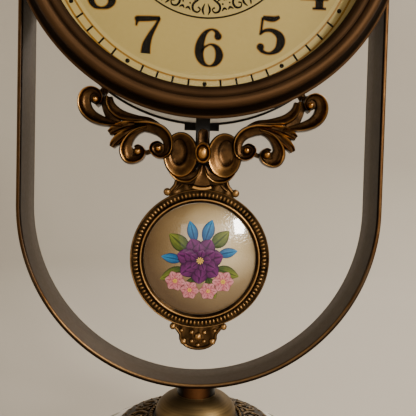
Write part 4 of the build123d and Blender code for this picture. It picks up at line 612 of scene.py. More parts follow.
# Each path: points of (across, above the drum's lowest point, half width).
CURL = ((53.9, 2.4, 0.9), (51.6, 4.8, 1.15), (51.85, 7.7, 1.25), (53.9, 9.7, 1.5), (56.8, 10, 2),
        (59.4, 7.8, 2.8), (60.1, 3.8, 3.2), (58.75, -0.1, 3.3), (55.65, -3.1, 3.1), (51.6, -4.9, 2.7),
        (47.6, -5.9, 2.1), (44, -6.4, 1.5), (40.5, -7, 0.9))
BRANCH = ((47.55, 7, 1.5), (46.97, 3.7, 2.1), (44.8, 0.45, 2.6), (40.8, -2, 2.6), (33.8, -3.2, 1.7),
          (27.2, -3.9, 1.3), (22.4, -5.9, 0.7))
ARCH = ((34.6, -6.6, 1.4), (29.8, -7.2, 2.7), (26.15, -7.6, 3), (21.65, -9.2, 3.1), (18.6, -12.1, 2.9),
        (17.3, -15.8, 2.6), (17.8, -19.85, 2), (20.8, -21.9, 1.65), (24.05, -21, 1.5), (25.7, -18.6, 1.4),
        (25.2, -16.5, 1.2), (22.9, -15.3, 0.95), (20.8, -16.1, 0.75))
LOWER = ((28.4, -8.35, 1.3), (32.2, -9.5, 1.5), (35.75, -12, 2.1), (38.4, -16.2, 2.8), (38.6, -19.7, 3.6),
         (37.45, -22.9, 3.3), (35, -23.9, 2.6), (31.5, -23, 1.75), (29.8, -20.5, 1.3), (30.4, -18.45, 1),
         (32.5, -17.15, 0.8), (34.4, -17.9, 0.65))
LEAVES = (((28.4, -6.1, 0.8), (34.6, -6.3, 1.7), (40.35, -7.4, 2.6), (44.4, -9.3, 2.5), (47.2, -11.1, 1.5)),
          ((28.8, -7.2, 0.8), (35.55, -9.3, 1.7), (40.8, -12.4, 2.5), (44.3, -15.7, 2.3), (45.8, -18.1, 1.3)))
LIP = ((1.3, -26.4, 0.5), (3.1, -30.3, 1.5), (6.2, -32.6, 2.2), (9.3, -33, 2.3), (12.6, -32.2, 2),
       (16.2, -29.6, 1))
# Rolled scrolls: path, side of the rim, share of the full relief
SCROLLS = ((CURL, 1, 1), (BRANCH, 1, 0.85), (LOWER, 1, 0.95), (ARCH, -1, 1.1), (LIP, -1, 0.62))
LEAF_SHARE = 0.88
# Dark ground of the casting behind the scrolls and leaves; its darkness is partly patina and partly painted
# shade between them.
GROUNDS = (
    ((50.2, 7.3, 1.9), (48.6, 1.2, 2.4), (45.6, -4, 2.7), (42.3, -6.8, 2)),
    ((25, -6.4, 1.8), (34.4, -8.4, 2.9), (40.2, -11.6, 3.9), (43.2, -14.2, 2.6)),
    ((29.4, -20.6, 1.2), (28, -20.2, 1.3), (26.4, -19.6, 1.2)),
    ((57.4, 6.6, 1.8), (54.4, 6.2, 2.8), (51.4, 5.6, 2.2)),
    ((25, -18.3, 2.4), (22.6, -18.3, 3), (19.6, -18.3, 2.6)),
    ((35.6, -20.9, 2), (33.2, -20.6, 2.8), (30.6, -20.4, 2.2)),
    ((14, -31, 2), (9, -33.4, 2.4), (3, -33, 3), (0, -32, 3)),
)
EYES = ((54, 5.4, 1.8), (22.2, -18.2, 1.8), (32.6, -20, 1.9))
PETAL_LOOPS = (
    (11.1, -21, 9, 11.7, 0, 0), (11.1, -21, 9, 11.7, 1.8, 0), (11.1, -21, 8.6, 11.3, 3.1, 0.1),
    (11.1, -21, 8.1, 10.8, 3.6, 0.7), (11.2, -20.9, 7.4, 10.1, 3.4, 0.3), (11.5, -20.4, 6.1, 8.7, 2.6, 0.2),
    (11.8, -19.8, 4.8, 7.3, 2.2, 0.19), (12.1, -19.5, 4, 6.5, 2.1, 0), (12.2, -19.4, 3.5, 5.9, 1.7, 0.12),
    (12.2, -19.4, 1.8, 3.2, 1.8, 0.18),
)
BOSS = (0, -19.9)
# Ovals of the boss: half width, half height, height, tone.
BOSS_LOOPS = ((4.3, 5.5, 0, 0), (4.3, 5.5, 5, 0.1), (4, 5.2, 6, 0.6), (3.5, 4.6, 6.4, 1), (3, 4, 5.9, 0.4),
              (2.7, 3.6, 5.2, 0), (2.5, 3.3, 5.2, 0.1), (2.2, 3, 6.2, 0.7), (1.5, 2.1, 6.9, 0.95),
              (0.6, 0.9, 7.1, 0.9))
EYE_LIFT, EYE_DEPTH = 3.8, 2.3
# Studs that hold the casting: angle on the head, nearest and furthest reach from its middle
STUD_ANGLE = radians(302)
STUD_NEAR = 92.4
STUD_REACH = 98.6
STUD_RADIUS = 2.2
STUD_BACK = -8.4
STUD_DEPTH = -11.2


def post(shape, start, end, radius, segments=20):
    """Round post with softened ends."""
    start = Vector(start)
    run = Vector(end) - start
    turn = run.to_track_quat("Z", "Y")
    rows = []
    for along, wide in ((0, 0.8), (0.06, 1), (0.94, 1), (1, 0.8)):
        rim = (turn @ Vector((*polar(radius * wide, angle), 0)) for angle in angles(segments))
        rows.append([shape.add(start + run * along + offset, 0.1) for offset in rim])
    shape.tube(rows)


def tongue(shape):
    """Middle leaf under the boss, hollow, with a bright lip."""
    rows = []
    for i in range(13):
        t = i / 12
        half = 0.8 + 4 * t ** 1.3
        drop = -26 - 11.6 * t
        lift = 2.6 + 1.6 * t + (1.6 if t > 0.9 else 0)
        row = []
        for j in range(11):
            u = -1 + j / 5
            h = lift + 0.7 * u * u - (0.9 * u * u * t)
            tone = 0.8 if t > 0.86 else 0.12 + 0.2 * t
            row.append(shape.add(on_scroll(half * u, drop - 0.9 * t * (1 - u * u), h), tone))
        row.append(shape.add(on_scroll(half, drop, 0)))
        row.append(shape.add(on_scroll(-half, drop, 0)))
        rows.append(row)
    shape.tube(rows)


def stem(shape):
    """Arched dark tab that rises from the boss to the head."""
    path = ((0, -16.5, 2.9), (0, -12, 2.9), (0, -9.5, 2.8), (0, -8.2, 2), (0, -7.6, 0.6))
    section = even((-1, 0, 0), (-1, 0.5, 0.05), (-0.86, 0.62, 0.25), (-0.7, 0.56, 0.05), (0, 0.54, 0.03))
    ribbon(shape, path, section, on_scroll, height=SCROLL_RELIEF)


def scroll():
    shape = Shape()
    for path, outer, share in SCROLLS:
        ribbon(shape, path, ROLLED, on_scroll, outer, SCROLL_RELIEF * share)
    for path in GROUNDS:
        ribbon(shape, path, FLAT, on_scroll, height=SCROLL_GROUND)
    for path in LEAVES:
        ribbon(shape, path, FLUTED, on_scroll, -1, SCROLL_RELIEF * LEAF_SHARE)
    # The petals' lower sides get a painted highlight.
    contours(shape, PETAL_LOOPS, on_scroll, lit=0.26)
    for a, b, size in EYES:
        ball(shape, on_scroll(a, b, EYE_LIFT), size, EYE_DEPTH, size)
    near, far = polar(STUD_NEAR, STUD_ANGLE), polar(STUD_REACH, STUD_ANGLE)
    post(shape, about_dial(*far, SCROLL_BACK - 1), about_dial(*far, STUD_BACK), STUD_RADIUS)
    post(shape, about_dial(*near, STUD_DEPTH), about_dial(*far, STUD_DEPTH), STUD_RADIUS)
    shape.mirror()
    tongue(shape)
    stem(shape)
    contours(shape, [BOSS + loop for loop in BOSS_LOOPS], on_scroll, segments=40)
    shape.make("scroll_casting", "case", "antique_bronze", BRONZE, ["scroll_ornament"])


# Medallion

# Oblong beads of the ring: their circle, depth, and half sizes along the radius, across and out
BEADS = 104
BEAD_CIRCLE = 33.4
BEAD_DEPTH = -12.3
BEAD_LONG, BEAD_WIDE, BEAD_RISE = 1.5, 0.74, 0.95
# Turned section of the ring: radius, depth, tone. The bright line on the inner lip is a painted highlight.
RING_PROFILE = (
    (31, -8.7, 0), (36.3, -8.7, 0), (36.3, -12, 0.05), (36.15, -12.6, 0.3), (35.85, -12.95, 0.6),
    (35.5, -12.85, 0.35), (35.25, -12.4, 0.1), (32.1, -12.2, 0.05), (31.8, -12.6, 0.05),
    (31.5, -13.1, 0.08), (31.2, -13.4, 0.2), (31, -13.6, 0.75), (30.7, -13.7, 0.95), (30.45, -13.6, 0.7),
    (30.2, -13.3, 0.15), (29.7, -12.8, 0.08), (29.2, -12.3, 0.05), (29.2, -11.5, 0), (31, -11.5, 0),
)
EDGE_ROLL = even((-1, 0, 0), (-1, 0.8, 0.05), (-0.6, 0.95, 0.3), (0, 1, 0.55))
CROWN_EDGE = ((17.4, 33.6, 0.9), (15.2, 36, 1), (13.6, 38.2, 1), (12.8, 41.2, 1), (11.4, 44.4, 0.9),
              (8, 45.6, 0.9), (4, 46, 0.9), (0, 46.2, 0.9))
FINIAL_EDGE = ((13.2, -34.6, 0.8), (10.8, -37.2, 0.9), (9.2, -39.6, 0.9), (8.8, -42.4, 0.9),
               (6.4, -45.2, 0.9), (3.2, -46.6, 0.9), (0, -47, 0.9))
BALLS = ((17.6, 34.4, 2.1), (13.2, -35.4, 1.8), (7.5, -43.2, 1.9), (3.3, -38.4, 1.4), (3.2, -43, 1.3),
         (8.6, -37.4, 1.2))
BALL_LIFT, BALL_DEPTH = 3.3, 2.2
# Balls on the middle line: place above the ring's middle, lift, half width, depth and height
MIDDLE_BALLS = ((-40.6, 3.5, 2.2, 2.4, 2.2), (-45, 3.4, 1.3, 1.8, 1.1), (38.6, 3.2, 1.2, 1.6, 1.9))
# Ribs on each half of the crown
RIBS = (((13.6, 35.2, 0.6), (11, 37.4, 0.8), (8.4, 40.6, 0.9), (5.6, 43.6, 0.6)),
        ((7, 36.8, 0.5), (5.6, 39.4, 0.8), (3.4, 41.6, 0.9), (1, 43.8, 0.5)))
PLATE_ROOT = 34
PLATE_LIFT, RIB_LIFT, EDGE_LIFT = 3.4, 4.1, 4.5


def plate_between(shape, edge):
    """Plate from an edge line in to the ring, with a shallow ribbed relief."""
    rows = []
    for a, b, _ in spline(edge, 5):
        size = hypot(a, b)
        row = []
        for j in range(9):
            t = j / 8
            reach = (PLATE_ROOT + (size - PLATE_ROOT) * t) / size
            rib = 0.3 * sin(12 * TURN * atan2(a, abs(b)) / 2) * sin(pi * t)
            tone = 0.16 + 0.9 * max(rib, 0)
            row.append(shape.add(on_medallion(a * reach, b * reach, PLATE_LIFT + rib), tone))
        for reach in (1, PLATE_ROOT / size):
            row.append(shape.add(on_medallion(a * reach, b * reach, 0)))
        rows.append(row)
    shape.tube(rows, ends=[0])


def medallion():
    shape = Shape()
    for edge in (CROWN_EDGE, FINIAL_EDGE):
        plate_between(shape, edge)
        ribbon(shape, edge, EDGE_ROLL, on_medallion, height=EDGE_LIFT)
    for path in RIBS:
        ribbon(shape, path, EDGE_ROLL, on_medallion, height=RIB_LIFT)
    for a, b, size in BALLS:
        ball(shape, on_medallion(a, b, BALL_LIFT), size, BALL_DEPTH, size)
    shape.mirror()
    for b, lift, *half in MIDDLE_BALLS:
        ball(shape, on_medallion(0, b, lift), *half)
    turned(shape, RING_PROFILE, about_medallion)
    for angle in angles(BEADS):
        bead(shape, *polar(1, angle))
    shape.make("medallion_casting", "pendulum", "antique_bronze", RING_BRONZE, ["medallion_frame"])


def bead(shape, a, b):
    """One oblong bead of the ring, laid along the radius."""
    axes = ((a * BEAD_LONG, 0, b * BEAD_LONG), (-b * BEAD_WIDE, 0, a * BEAD_WIDE), (0, -BEAD_RISE, 0))
    center = about_medallion(a * BEAD_CIRCLE, b * BEAD_CIRCLE, BEAD_DEPTH)
    knob(shape, center, axes, (0.1, 0.85), power=3, rings=6, segments=8)


# Painted flowers


# Section across a brushed petal: a low crown over a flat underside
PETAL_SECTION = [(j / 3 - 1, 0.06 * (1 - (j / 3 - 1) ** 2)) for j in range(7)] + [(1, -0.03), (-1, -0.03)]


def petal(shape, root, angle, length, width, place, lift, point=0.6):
    """One brushed petal or leaf: grows from its root, widest at the given share of its length."""
    along = polar(1, angle)
    power = log(0.5) / log(point)
    rows = []
    for i in range(9):
        t = i / 8
        reach = length * t
        half = width * sin(pi * min(t, 0.985) ** power) ** 0.8 + 0.04
        rows.append([
            shape.add(place(root[0] + along[0] * reach - along[1] * half * u,
                            root[1] + along[1] * reach + along[0] * half * u, lift + h), t, u)
            for u, h in PETAL_SECTION
        ])
    shape.tube(rows)


def rosette(shape, center, petals, length, width, place, lift, start=0, root=0):
    for i in range(petals):
        angle = start + TURN * i / petals
        a, b = polar(root, angle)
        petal(shape, (center[0] + a, center[1] + b), angle, length, width, place, lift + 0.015 * (i % 2))


# Leaves and sprigs on the porcelain: root, angle, length, half width
LEAF_BRUSHES = (((-6, 4.5), 2.45, 13, 4), ((-7, -5), 3.55, 14.5, 3.6), ((6, 6.5), 0.75, 12, 3.8),
                ((8, -4.5), 5.95, 13, 3.4), ((-3, -9), 4.35, 12, 3), ((4, -9), 5.1, 12, 3))
SPRIG_BRUSHES = (((2, 8.5), 1.25, 12.5, 3.2), ((-2.5, 8.5), 1.85, 11.5, 2.8), ((8.5, 2.5), 0.2, 11, 2.6),
                 ((-8.5, -0.5), 3, 11.5, 2.6))
BLOSSOMS = (((12.2, -11.4), 5.6), ((4.6, -16.4), 4.6), ((-5, -16), 4.8), ((-12.6, -11.4), 5.2))
# Large bloom: its middle, and rings of petals, length, half width, lift, starting angle, root
BLOOM = (0, -0.5)
WHORLS = ((7, 9.6, 4.3, 0.26, 0.2, 2.4), (6, 7.4, 3.6, 0.34, 0.6, 1.4), (5, 5, 2.5, 0.42, 0.1, 0.6))


def porcelain_spray():
    """Painted spray of plain garden flowers on the porcelain dome."""
    place = on_porcelain
    leaves, sprigs, blossoms, bloom, hearts = (Shape() for _ in range(5))
    for brush in LEAF_BRUSHES:
        petal(leaves, *brush, place, 0.05, point=0.45)
    for brush in SPRIG_BRUSHES:
        petal(sprigs, *brush, place, 0.09, point=0.5)
    for turn, (center, size) in enumerate(BLOSSOMS):
        rosette(blossoms, center, 6, size, size * 0.44, place, 0.14, turn)
        rosette(blossoms, center, 5, size * 0.62, size * 0.3, place, 0.2, turn + 0.5)
        rosette(hearts, center, 6, size * 0.24, size * 0.08, place, 0.28)
    for petals, length, width, *rest in WHORLS:
        rosette(bloom, BLOOM, petals, length, width, place, *rest)
    rosette(hearts, BLOOM, 9, 1.9, 0.3, place, 0.52)
    leaves.make("spray_green", "pendulum", "glazed_cream", GREEN)
    sprigs.make("spray_blue", "pendulum", "glazed_cream", BLUE)
    blossoms.make("spray_pink", "pendulum", "glazed_cream", PINK)
    bloom.make("spray_purple", "pendulum", "glazed_cream", PURPLE)
    hearts.make("spray_yellow", "pendulum", "glazed_cream", YELLOW)


FOOT_FLOWERS = 8
FLOWER_CIRCLE = 58
BUD_CIRCLE = 60


def foot_sprays():
    """Painted flowers and leaves round the shoulder of the ceramic foot."""
    pink, green, yellow = Shape(), Shape(), Shape()
    for i in range(FOOT_FLOWERS):
        angle = TURN * (i + 0.5) / FOOT_FLOWERS
        center = polar(FLOWER_CIRCLE, angle)
        for turn, length in ((0.9, 9), (-0.9, 9), (2.3, 10), (-2.3, 10)):
            petal(green, center, angle + turn, length, 2.2, on_foot, 0.05)
        rosette(pink, center, 6, 5, 2, on_foot, 0.12, angle)
        rosette(pink, center, 5, 3.2, 1.4, on_foot, 0.2, angle + 0.5)
        rosette(yellow, center, 6, 1.3, 0.4, on_foot, 0.28)
        aside = angle + TURN / (2 * FOOT_FLOWERS)
        bud = polar(BUD_CIRCLE, aside)
        rosette(pink, bud, 5, 2.6, 1.1, on_foot, 0.12, aside)
        for turn in (2.6, -2.6):
            petal(green, bud, aside + turn, 5, 1.3, on_foot, 0.06)
    pink.make("foot_pink", "case", "glazed_white", PINK)
    green.make("foot_green", "case", "glazed_white", GREEN)
    yellow.make("foot_yellow", "case", "glazed_white", YELLOW)


# Foot metalwork

PLATE_EDGE = 43
BEAD_RING = 24.2
PLATE_BORE = 6
PLATE_TOP = 1.2
SCALLOPS = 40
RING_STUDS = 52
EDGE_CIRCLE = PLATE_EDGE - 2.9
EDGE_BEAD, RING_BEAD = 0.75, 1.25
MOTIFS = 12


def filigree():
    """Pierced-looking cap on the ceramic: scalloped beaded edge, scrollwork and a bead ring."""
    shape = Shape()
    rows = []
    for angle in angles(SCALLOPS * 8):
        edge = PLATE_EDGE - 0.9 * (1 - abs(sin(SCALLOPS * angle / 2)))
        section = ((PLATE_BORE, 0.1, 0), (PLATE_BORE, PLATE_TOP, 0), (BEAD_RING, PLATE_TOP, 0.05),
                   (edge - 4, PLATE_TOP, 0.15), (edge - 1.8, 1.5, 0.4), (edge - 0.8, 1.6, 0.7),
                   (edge - 0.1, 1.1, 0.3), (edge, 0.1, 0))
        rows.append([shape.add(on_foot(*polar(r, angle), h), tone) for r, h, tone in section])
    shape.skin(rows, wrap_rows=True, wrap_columns=True)
    for angle in angles(SCALLOPS):
        stud(shape, angle + TURN / (2 * SCALLOPS), EDGE_CIRCLE, EDGE_BEAD)
    for angle in angles(RING_STUDS):
        stud(shape, angle, BEAD_RING, RING_BEAD)
    for angle in angles(MOTIFS):
        motif(shape, angle)
    shape.make("filigree_cap", "case", "antique_bronze", FILIGREE, ["base_filigree_plate"])


def stud(shape, angle, radius, size):
    """Half-round bead that stands on the cap."""
    axes = ((size, 0, 0), (0, size, 0), (0, 0, size))
    center = on_foot(*polar(radius, angle), PLATE_TOP)
    knob(shape, center, axes, (-0.65, 0.95), power=1, rings=5, segments=12, arc=pi / 2)


DOME_PROFILE = (
    (20.8, 0.1), (21.8, 0.1), (22, 0.5), (22, 1.3), (21.7, 3), (20.8, 5.1), (19.3, 7), (17.3, 8.7),
    (15, 9.9), (12.7, 10.7), (11.4, 11), (10.8, 11.2), (10.5, 11.5), (10.2, 11.5), (10.2, 8.4), (14, 8.4),
    (19, 5.2),
)


def dome():
    """Spun dome that rises to the neck."""
    shape = Shape()
    turned(shape, [(r, DOME_LOW + h, 1) for r, h in DOME_PROFILE], about_upright, segments=128)
    shape.make("dome_spun", "case", "antique_brass", BRASS, ["base_dome"], sharp=50)


# Scrolls of the cap on one side of a motif: points of (across, radius, half width)
MOTIF_SCROLL = ((0.6, 26.4, 0.6), (3.4, 28, 0.9), (6.4, 31.4, 1), (6, 35.4, 1), (3.4, 36.6, 0.9),
                (2.2, 34.4, 0.7), (3.8, 33, 0.6))
MOTIF_TIP = ((6, 28.2, 0.5), (7.4, 26.8, 0.9), (8.4, 28, 0.6))
MOTIF_LEAF = ((0, 28.4, 0.3), (0, 31.4, 1.4), (0, 34.4, 0.4))


def flipped(path, side):
    return [(side * a, b, half) for a, b, half in path]


def motif(shape, angle):
    """Pair of scrolls and a leaf between the bead ring and the edge."""

    def place(a, b, h):
        return on_foot(*polar(b, angle + a / b), PLATE_TOP - 0.1 + h)

    section = even((-1, 0, 0.1), (-0.7, 0.8, 0.5), (0, 1, 0.95))
    for side in (-1, 1):
        ribbon(shape, flipped(MOTIF_SCROLL, side), section, place, height=0.9, steps=5)
        ribbon(shape, flipped(MOTIF_TIP, side), section, place, height=0.8, steps=4)
    ribbon(shape, MOTIF_LEAF, section, place, height=1, steps=4)


# Loop

BAND_THICKNESS = 2.5
# Section of the band: out from its middle line, depth, tone on the uprights, tone on the bends. The bends are
# painted darker than the uprights as shade: dark on the outer half of the front, with a painted highlight
# line at the inner corner.
BAND_SECTION = (
    (-1.25, -10.9, 0.2, 0.3), (-1.22, -11.6, 0, 0.5), (-1.05, -12.1, 0, 0.9), (-0.75, -12.4, 0.05, 0.85),
    (-0.45, -12.5, 0.55, 0.6), (0, -12.5, 0.62, 0.1), (0.5, -12.48, 0.64, 0.02), (0.85, -12.3, 0.66, 0.02),
    (1.1, -12, 0.52, 0.05), (1.22, -11.6, 0.35, 0.1), (1.25, -10.9, 0.2, 0.2), (1.25, 11.6, 0.3, 0.3),
    (0.9, 12.3, 0.35, 0.35), (0.4, 12.5, 0.3, 0.3), (-0.4, 12.5, 0.3, 0.3), (-0.9, 12.3, 0.35, 0.35),
    (-1.25, 11.6, 0.36, 0.4), (-1.25, 0, 0.3, 0.4), (-1.25, -9.9, 0.2, 0.38),
)


def loop():
    """Long loop of flat band, coppery in front on the uprights; on the bends the front has painted shade with
    a painted highlight line.
    """
    radius = BAND_HIGH.x - BAND_THICKNESS / 2
    centers = (BAND_LOW.z + BAND_HIGH.x, BAND_HIGH.z - BAND_HIGH.x)
    shape = Shape()
    rows = []
    arc = 96
    for center, start in ((centers[0], pi), (centers[1], 0)):
        for i in range(arc + 1):
            angle = start + pi * i / arc
            out = polar(1, angle)
            # Blends the uprights' tones into the bends' painted shade and highlight.
            upright = abs(out[0]) ** 8
            rows.append([
                shape.add((out[0] * (radius + r), y, center + out[1] * (radius + r)),
                          side_tone * upright + bend_tone * (1 - upright))
                for r, y, side_tone, bend_tone in BAND_SECTION
            ])
    shape.skin(rows, wrap_rows=True, wrap_columns=True)
    shape.make("loop_band", "case", "frame_bronze", BAND, ["frame_band"], sharp=35)


# Head

# Turned section of the bezel: radius, depth, tone. The low tone in the cove outside the torus is painted
# shade; the high tone on the torus crest and the outer rim is partly rubbed metal and partly a painted
# highlight.
BEZEL_PROFILE = (
    (90.9, BEZEL_BACK, 0), (90.9, -25.5, 0), (95.8, -25.5, 0.1), (96.1, -25.9, 0.75), (96.1, -27.3, 0.9),
    (95.85, -27.75, 1), (95.3, -27.95, 0.8), (94.8, -28.05, 0.2), (94.2, -28.4, 0.1), (93.3, -29.2, 0.05),
    (92.5, -30.2, 0.12), (92, -31, 0.4), (91.85, -31.6, 0.65), (91.5, -32.6, 0.85), (90.8, -33.4, 0.95),
    (89.9, -33.9, 1), (88.8, -33.95, 1), (87.8, -33.5, 0.85), (87, -32.7, 0.65), (86.6, -32, 0.4),
    (86.3, -31.7, 0.3), (86, -31.75, 0.32), (85.5, -32, 0.45), (84.8, -32.1, 0.55), (84, -31.95, 0.52),
    (83.2, -31.6, 0.42), (82.4, -31.15, 0.32), (81.6, -30.5, 0.24), (81.2, -29.9, 0.16),
    (81.2, -28.55, 0.1), (88.4, -28.55, 0), (88.4, BEZEL_BACK, 0),
)


def bezel():
    shape = Shape()
    turned(shape, BEZEL_PROFILE, about_dial, segments=256)
    shape.make("bezel_turned", "case", "antique_bronze", BEZEL, ["front_bezel"], sharp=50)


# Dial print

INK_SECTION = even((-1, 0, 0), (-1, 1, 0))
INK_LIFT = 0.06
GOLD_LIFT = 0.035
NUMERAL_RADIUS = 61.4
# The numerals are printed a little round from the dots, against the clock.
NUMERAL_SHIFT = radians(2)
NUMERAL_HEIGHT = 19
# The 6 and the 12 stand nearer to the middle than the others.
NUMERAL_INSET = 2
OUTLINE = 0.48
GOLD_HALF = 0.5
TICK_HALF = 0.52
DOT_RADIUS = 1.15
# Circles that hold the ornament: radius and half width
ORNAMENT_RINGS = ((44.7, 0.42), (32.6, 0.3))
ORNAMENT_MIDDLE = 40
# Scrolls of the ornament on one side of a flourish: points of (across, radius, half width)
FLOURISH = (
    ((0.4, 34, 0.25), (3.4, 35.2, 0.45), (6.8, 38.4, 0.62), (6.4, 41.4, 0.55), (4.2, 42.2, 0.45),
     (3, 40.6, 0.35), (4.3, 39.6, 0.5)),
    ((6, 36.8, 0.2), (8.4, 35.4, 0.7), (10.2, 36.8, 0.2)),
    ((7.6, 41.8, 0.2), (9, 40.6, 0.6), (10.2, 41.6, 0.2)),
    ((0.8, 37.6, 0.2), (1.8, 40.6, 0.6), (0.9, 43.2, 0.2)),
)
FLOURISH_DOT = (8.6, 38.4)
TRACK_INNER = 75.7
TRACK_OUTER = 79.7
DOT_CIRCLE = 77.6
# Strokes of the numerals: points of (across, up, half width) in hundredths of the height.
DIGITS = {
    "0": (((31, 98, 2), (12, 80, 6.5), (6, 50, 8.5), (12, 20, 6.5), (31, 2, 2),
           (50, 20, 6.5), (56, 50, 8.5), (50, 80, 6.5), (31, 98, 2)),),
    "1": (((30, 99, 7), (30, 50, 7), (30, 2, 7)),
          ((30, 97, 3), (20, 88, 2), (10, 85, 1.5)),
          ((10, 1.8, 1.8), (30, 1.8, 1.8), (50, 1.8, 1.8))),
    "2": (((10, 74, 7.5), (13, 88, 3), (30, 97, 2.5), (47, 86, 6.5), (50, 68, 8),
           (40, 46, 6), (22, 24, 3), (8, 6, 2.5)),
          ((6, 6, 5), (24, 9, 5.5), (42, 5, 6), (54, 10, 3), (57, 24, 1.5))),
    "3": (((10, 78, 7), (15, 90, 3), (30, 97, 2.5), (46, 86, 6), (47, 70, 7.5),
           (37, 56, 3.5), (22, 53, 1.8)),
          ((22, 53, 1.8), (42, 50, 3.5), (55, 36, 7.5), (53, 18, 7), (40, 4, 3.5),
           (24, 2, 2.5), (11, 9, 4), (8, 20, 7))),
    "4": (((43, 98, 3), (23, 62, 2), (3, 28, 2)),
          ((2, 27, 2.5), (30, 27, 2.5), (62, 27, 2.5)),
          ((44, 98, 5.5), (44, 50, 7.5), (44, 2, 7.5)),
          ((28, 1.8, 1.8), (44, 1.8, 1.8), (60, 1.8, 1.8))),
    "5": (((13, 96, 3), (26, 93, 5), (40, 93, 5), (52, 99, 2.5)),
          ((13, 96, 2), (11, 75, 2), (9, 54, 2)),
          ((9, 54, 2), (20, 62, 3), (36, 62, 4), (52, 50, 7), (56, 32, 8.5),
           (48, 12, 6), (30, 2, 2.5), (14, 7, 3.5), (9, 18, 7))),
    "6": (((50, 80, 7), (46, 92, 3.5), (34, 97.5, 1.6), (19, 86, 4.5), (9, 58, 8),
           (8, 30, 8), (17, 9, 4.5), (32, 1.8, 1.5), (47, 10, 5), (54, 30, 7.5),
           (48, 50, 5), (34, 58.5, 1.5), (19, 50, 1.8), (12, 38, 2)),),
    "7": (((5, 98, 2), (5.5, 88, 2.6), (4, 76, 1.4)),
          ((6, 92, 5), (30, 93, 5), (58, 95, 3.4)),
          ((57.5, 96, 1.8), (48, 75, 2.8), (36, 50, 5), (28, 25, 8), (26, 2, 9.2))),
    "8": (((30, 53, 5), (14, 64, 6), (12, 82, 5.5), (30, 98, 2), (48, 84, 4.5),
           (46, 66, 4.5), (30, 53, 5), (12, 38, 5), (7, 22, 6), (16, 6, 4),
           (31, 2, 2), (46, 7, 4.5), (54, 22, 7.5), (46, 40, 7), (30, 53, 5)),),
}
DIGIT_WIDTH = 62
# The 9 is the 6 turned round.
DIGITS["9"] = [[(DIGIT_WIDTH - x, 100 - y, w) for x, y, w in stroke] for stroke in DIGITS["6"]]
WIDE = 1.15
# Strokes that end below or above these heights are cut flat, the others end round.
FLAT_ENDS = (5, 95)
WEIGHT = 1.3


def numeral(shape, text, center, grow, lift):
    """Draws a number centred on a point; grow widens every stroke."""
    up = NUMERAL_HEIGHT / 100
    across = up * (WIDE if len(text) == 1 else 1)
    foot = center[1] - NUMERAL_HEIGHT / 2
    for i, digit in enumerate(text):
        left = center[0] + across * DIGIT_WIDTH * (i - len(text) / 2)
        for stroke in DIGITS[digit]:
            path = [(left + x * across, foot + y * up, w * up * WEIGHT + grow) for x, y, w in stroke]
            ribbon(shape, path, INK_SECTION, on_dial, height=lift, steps=6)
            for end in (0, -1):
                if FLAT_ENDS[0] < stroke[end][1] < FLAT_ENDS[1]:
                    disc(shape, *path[end], on_dial, lift * 0.98)


def circle(shape, radius, half, lift):
    """Printed circle on the dial."""
    corners = ((-half, 0), (-half, lift), (half, lift), (half, 0))
    turned(shape, [(radius + r, DIAL_FACE - h, 0) for r, h in corners], about_dial)


def track(ink, gold):
    """Minute track: two gold lines, a dark tick each minute and a dot each five."""
    for radius in (TRACK_INNER, TRACK_OUTER):
        circle(gold, radius, GOLD_HALF, GOLD_LIFT)
    for minute, angle in enumerate(angles(60)):
        if minute % 5 == 0:
            disc(ink, *polar(DOT_CIRCLE, angle), DOT_RADIUS, on_dial, INK_LIFT)
            continue
        path = [(*polar(r, angle), TICK_HALF) for r in (TRACK_INNER, DOT_CIRCLE, TRACK_OUTER)]
        ribbon(ink, path, INK_SECTION, on_dial, height=INK_LIFT, steps=1)


def flourish(shape, angle):
    """Pair of scrolls with leaf tips inside the ornament ring."""

    def place(a, b, h):
        return on_dial(*polar(b, angle + a / ORNAMENT_MIDDLE), h)

    for side in (-1, 1):
        for path in FLOURISH:
            ribbon(shape, flipped(path, side), INK_SECTION, place, height=INK_LIFT, steps=6)
        disc(shape, side * FLOURISH_DOT[0], FLOURISH_DOT[1], 0.5, place, INK_LIFT)


def dial_print():
    ink, gold = Shape(), Shape()
    track(ink, gold)
    for hour in range(1, 13):
        radius = NUMERAL_RADIUS - (NUMERAL_INSET if hour % 6 == 0 else 0)
        center = polar(radius, TURN * (0.25 - hour / 12) + NUMERAL_SHIFT)
        numeral(gold, str(hour), center, OUTLINE, GOLD_LIFT)
        numeral(ink, str(hour), center, 0, INK_LIFT)
    for angle in angles(12):
        flourish(ink, angle)
    for radius, half in ORNAMENT_RINGS:
        circle(ink, radius, half, INK_LIFT)
    ink.make("dial_black_print", "case", "dial_cream", INK)
    gold.make("dial_gold_print", "case", "dial_cream", GOLD_INK)


# Hands


HUB = 4.6


def hand(node, body, angle, length, outline, bore):
    """Crowned blade along its outline of (share of the length, half width), with a round hub."""
    low, high = limits(node)
    thick = high.y - low.y
    along = polar(1, radians(90 - angle))

    def place(a, b, h):
        return (along[0] * b + along[1] * a, high.y - h, DIAL_Z + along[1] * b - along[0] * a)

    shape = Shape()
    section = even((-1, 0, 0.3), (-1, 0.6, 0.5), (0, 1, 0.8))
    path = [(0, share * length, half) for share, half in outline]
    ribbon(shape, path, section, place, height=thick, steps=4)
    profile = ((bore, high.y, 0.2), (HUB, high.y, 0.2), (HUB, low.y + 0.2, 0.5), (HUB - 0.4, low.y, 0.8),
               (bore + 0.3, low.y, 0.8), (bore, low.y + 0.2, 0.4))
    turned(shape, profile, about_dial, segments=48)
    shape.make(node + "_blade", body, "hand_black", BLACK_STEEL, [node])


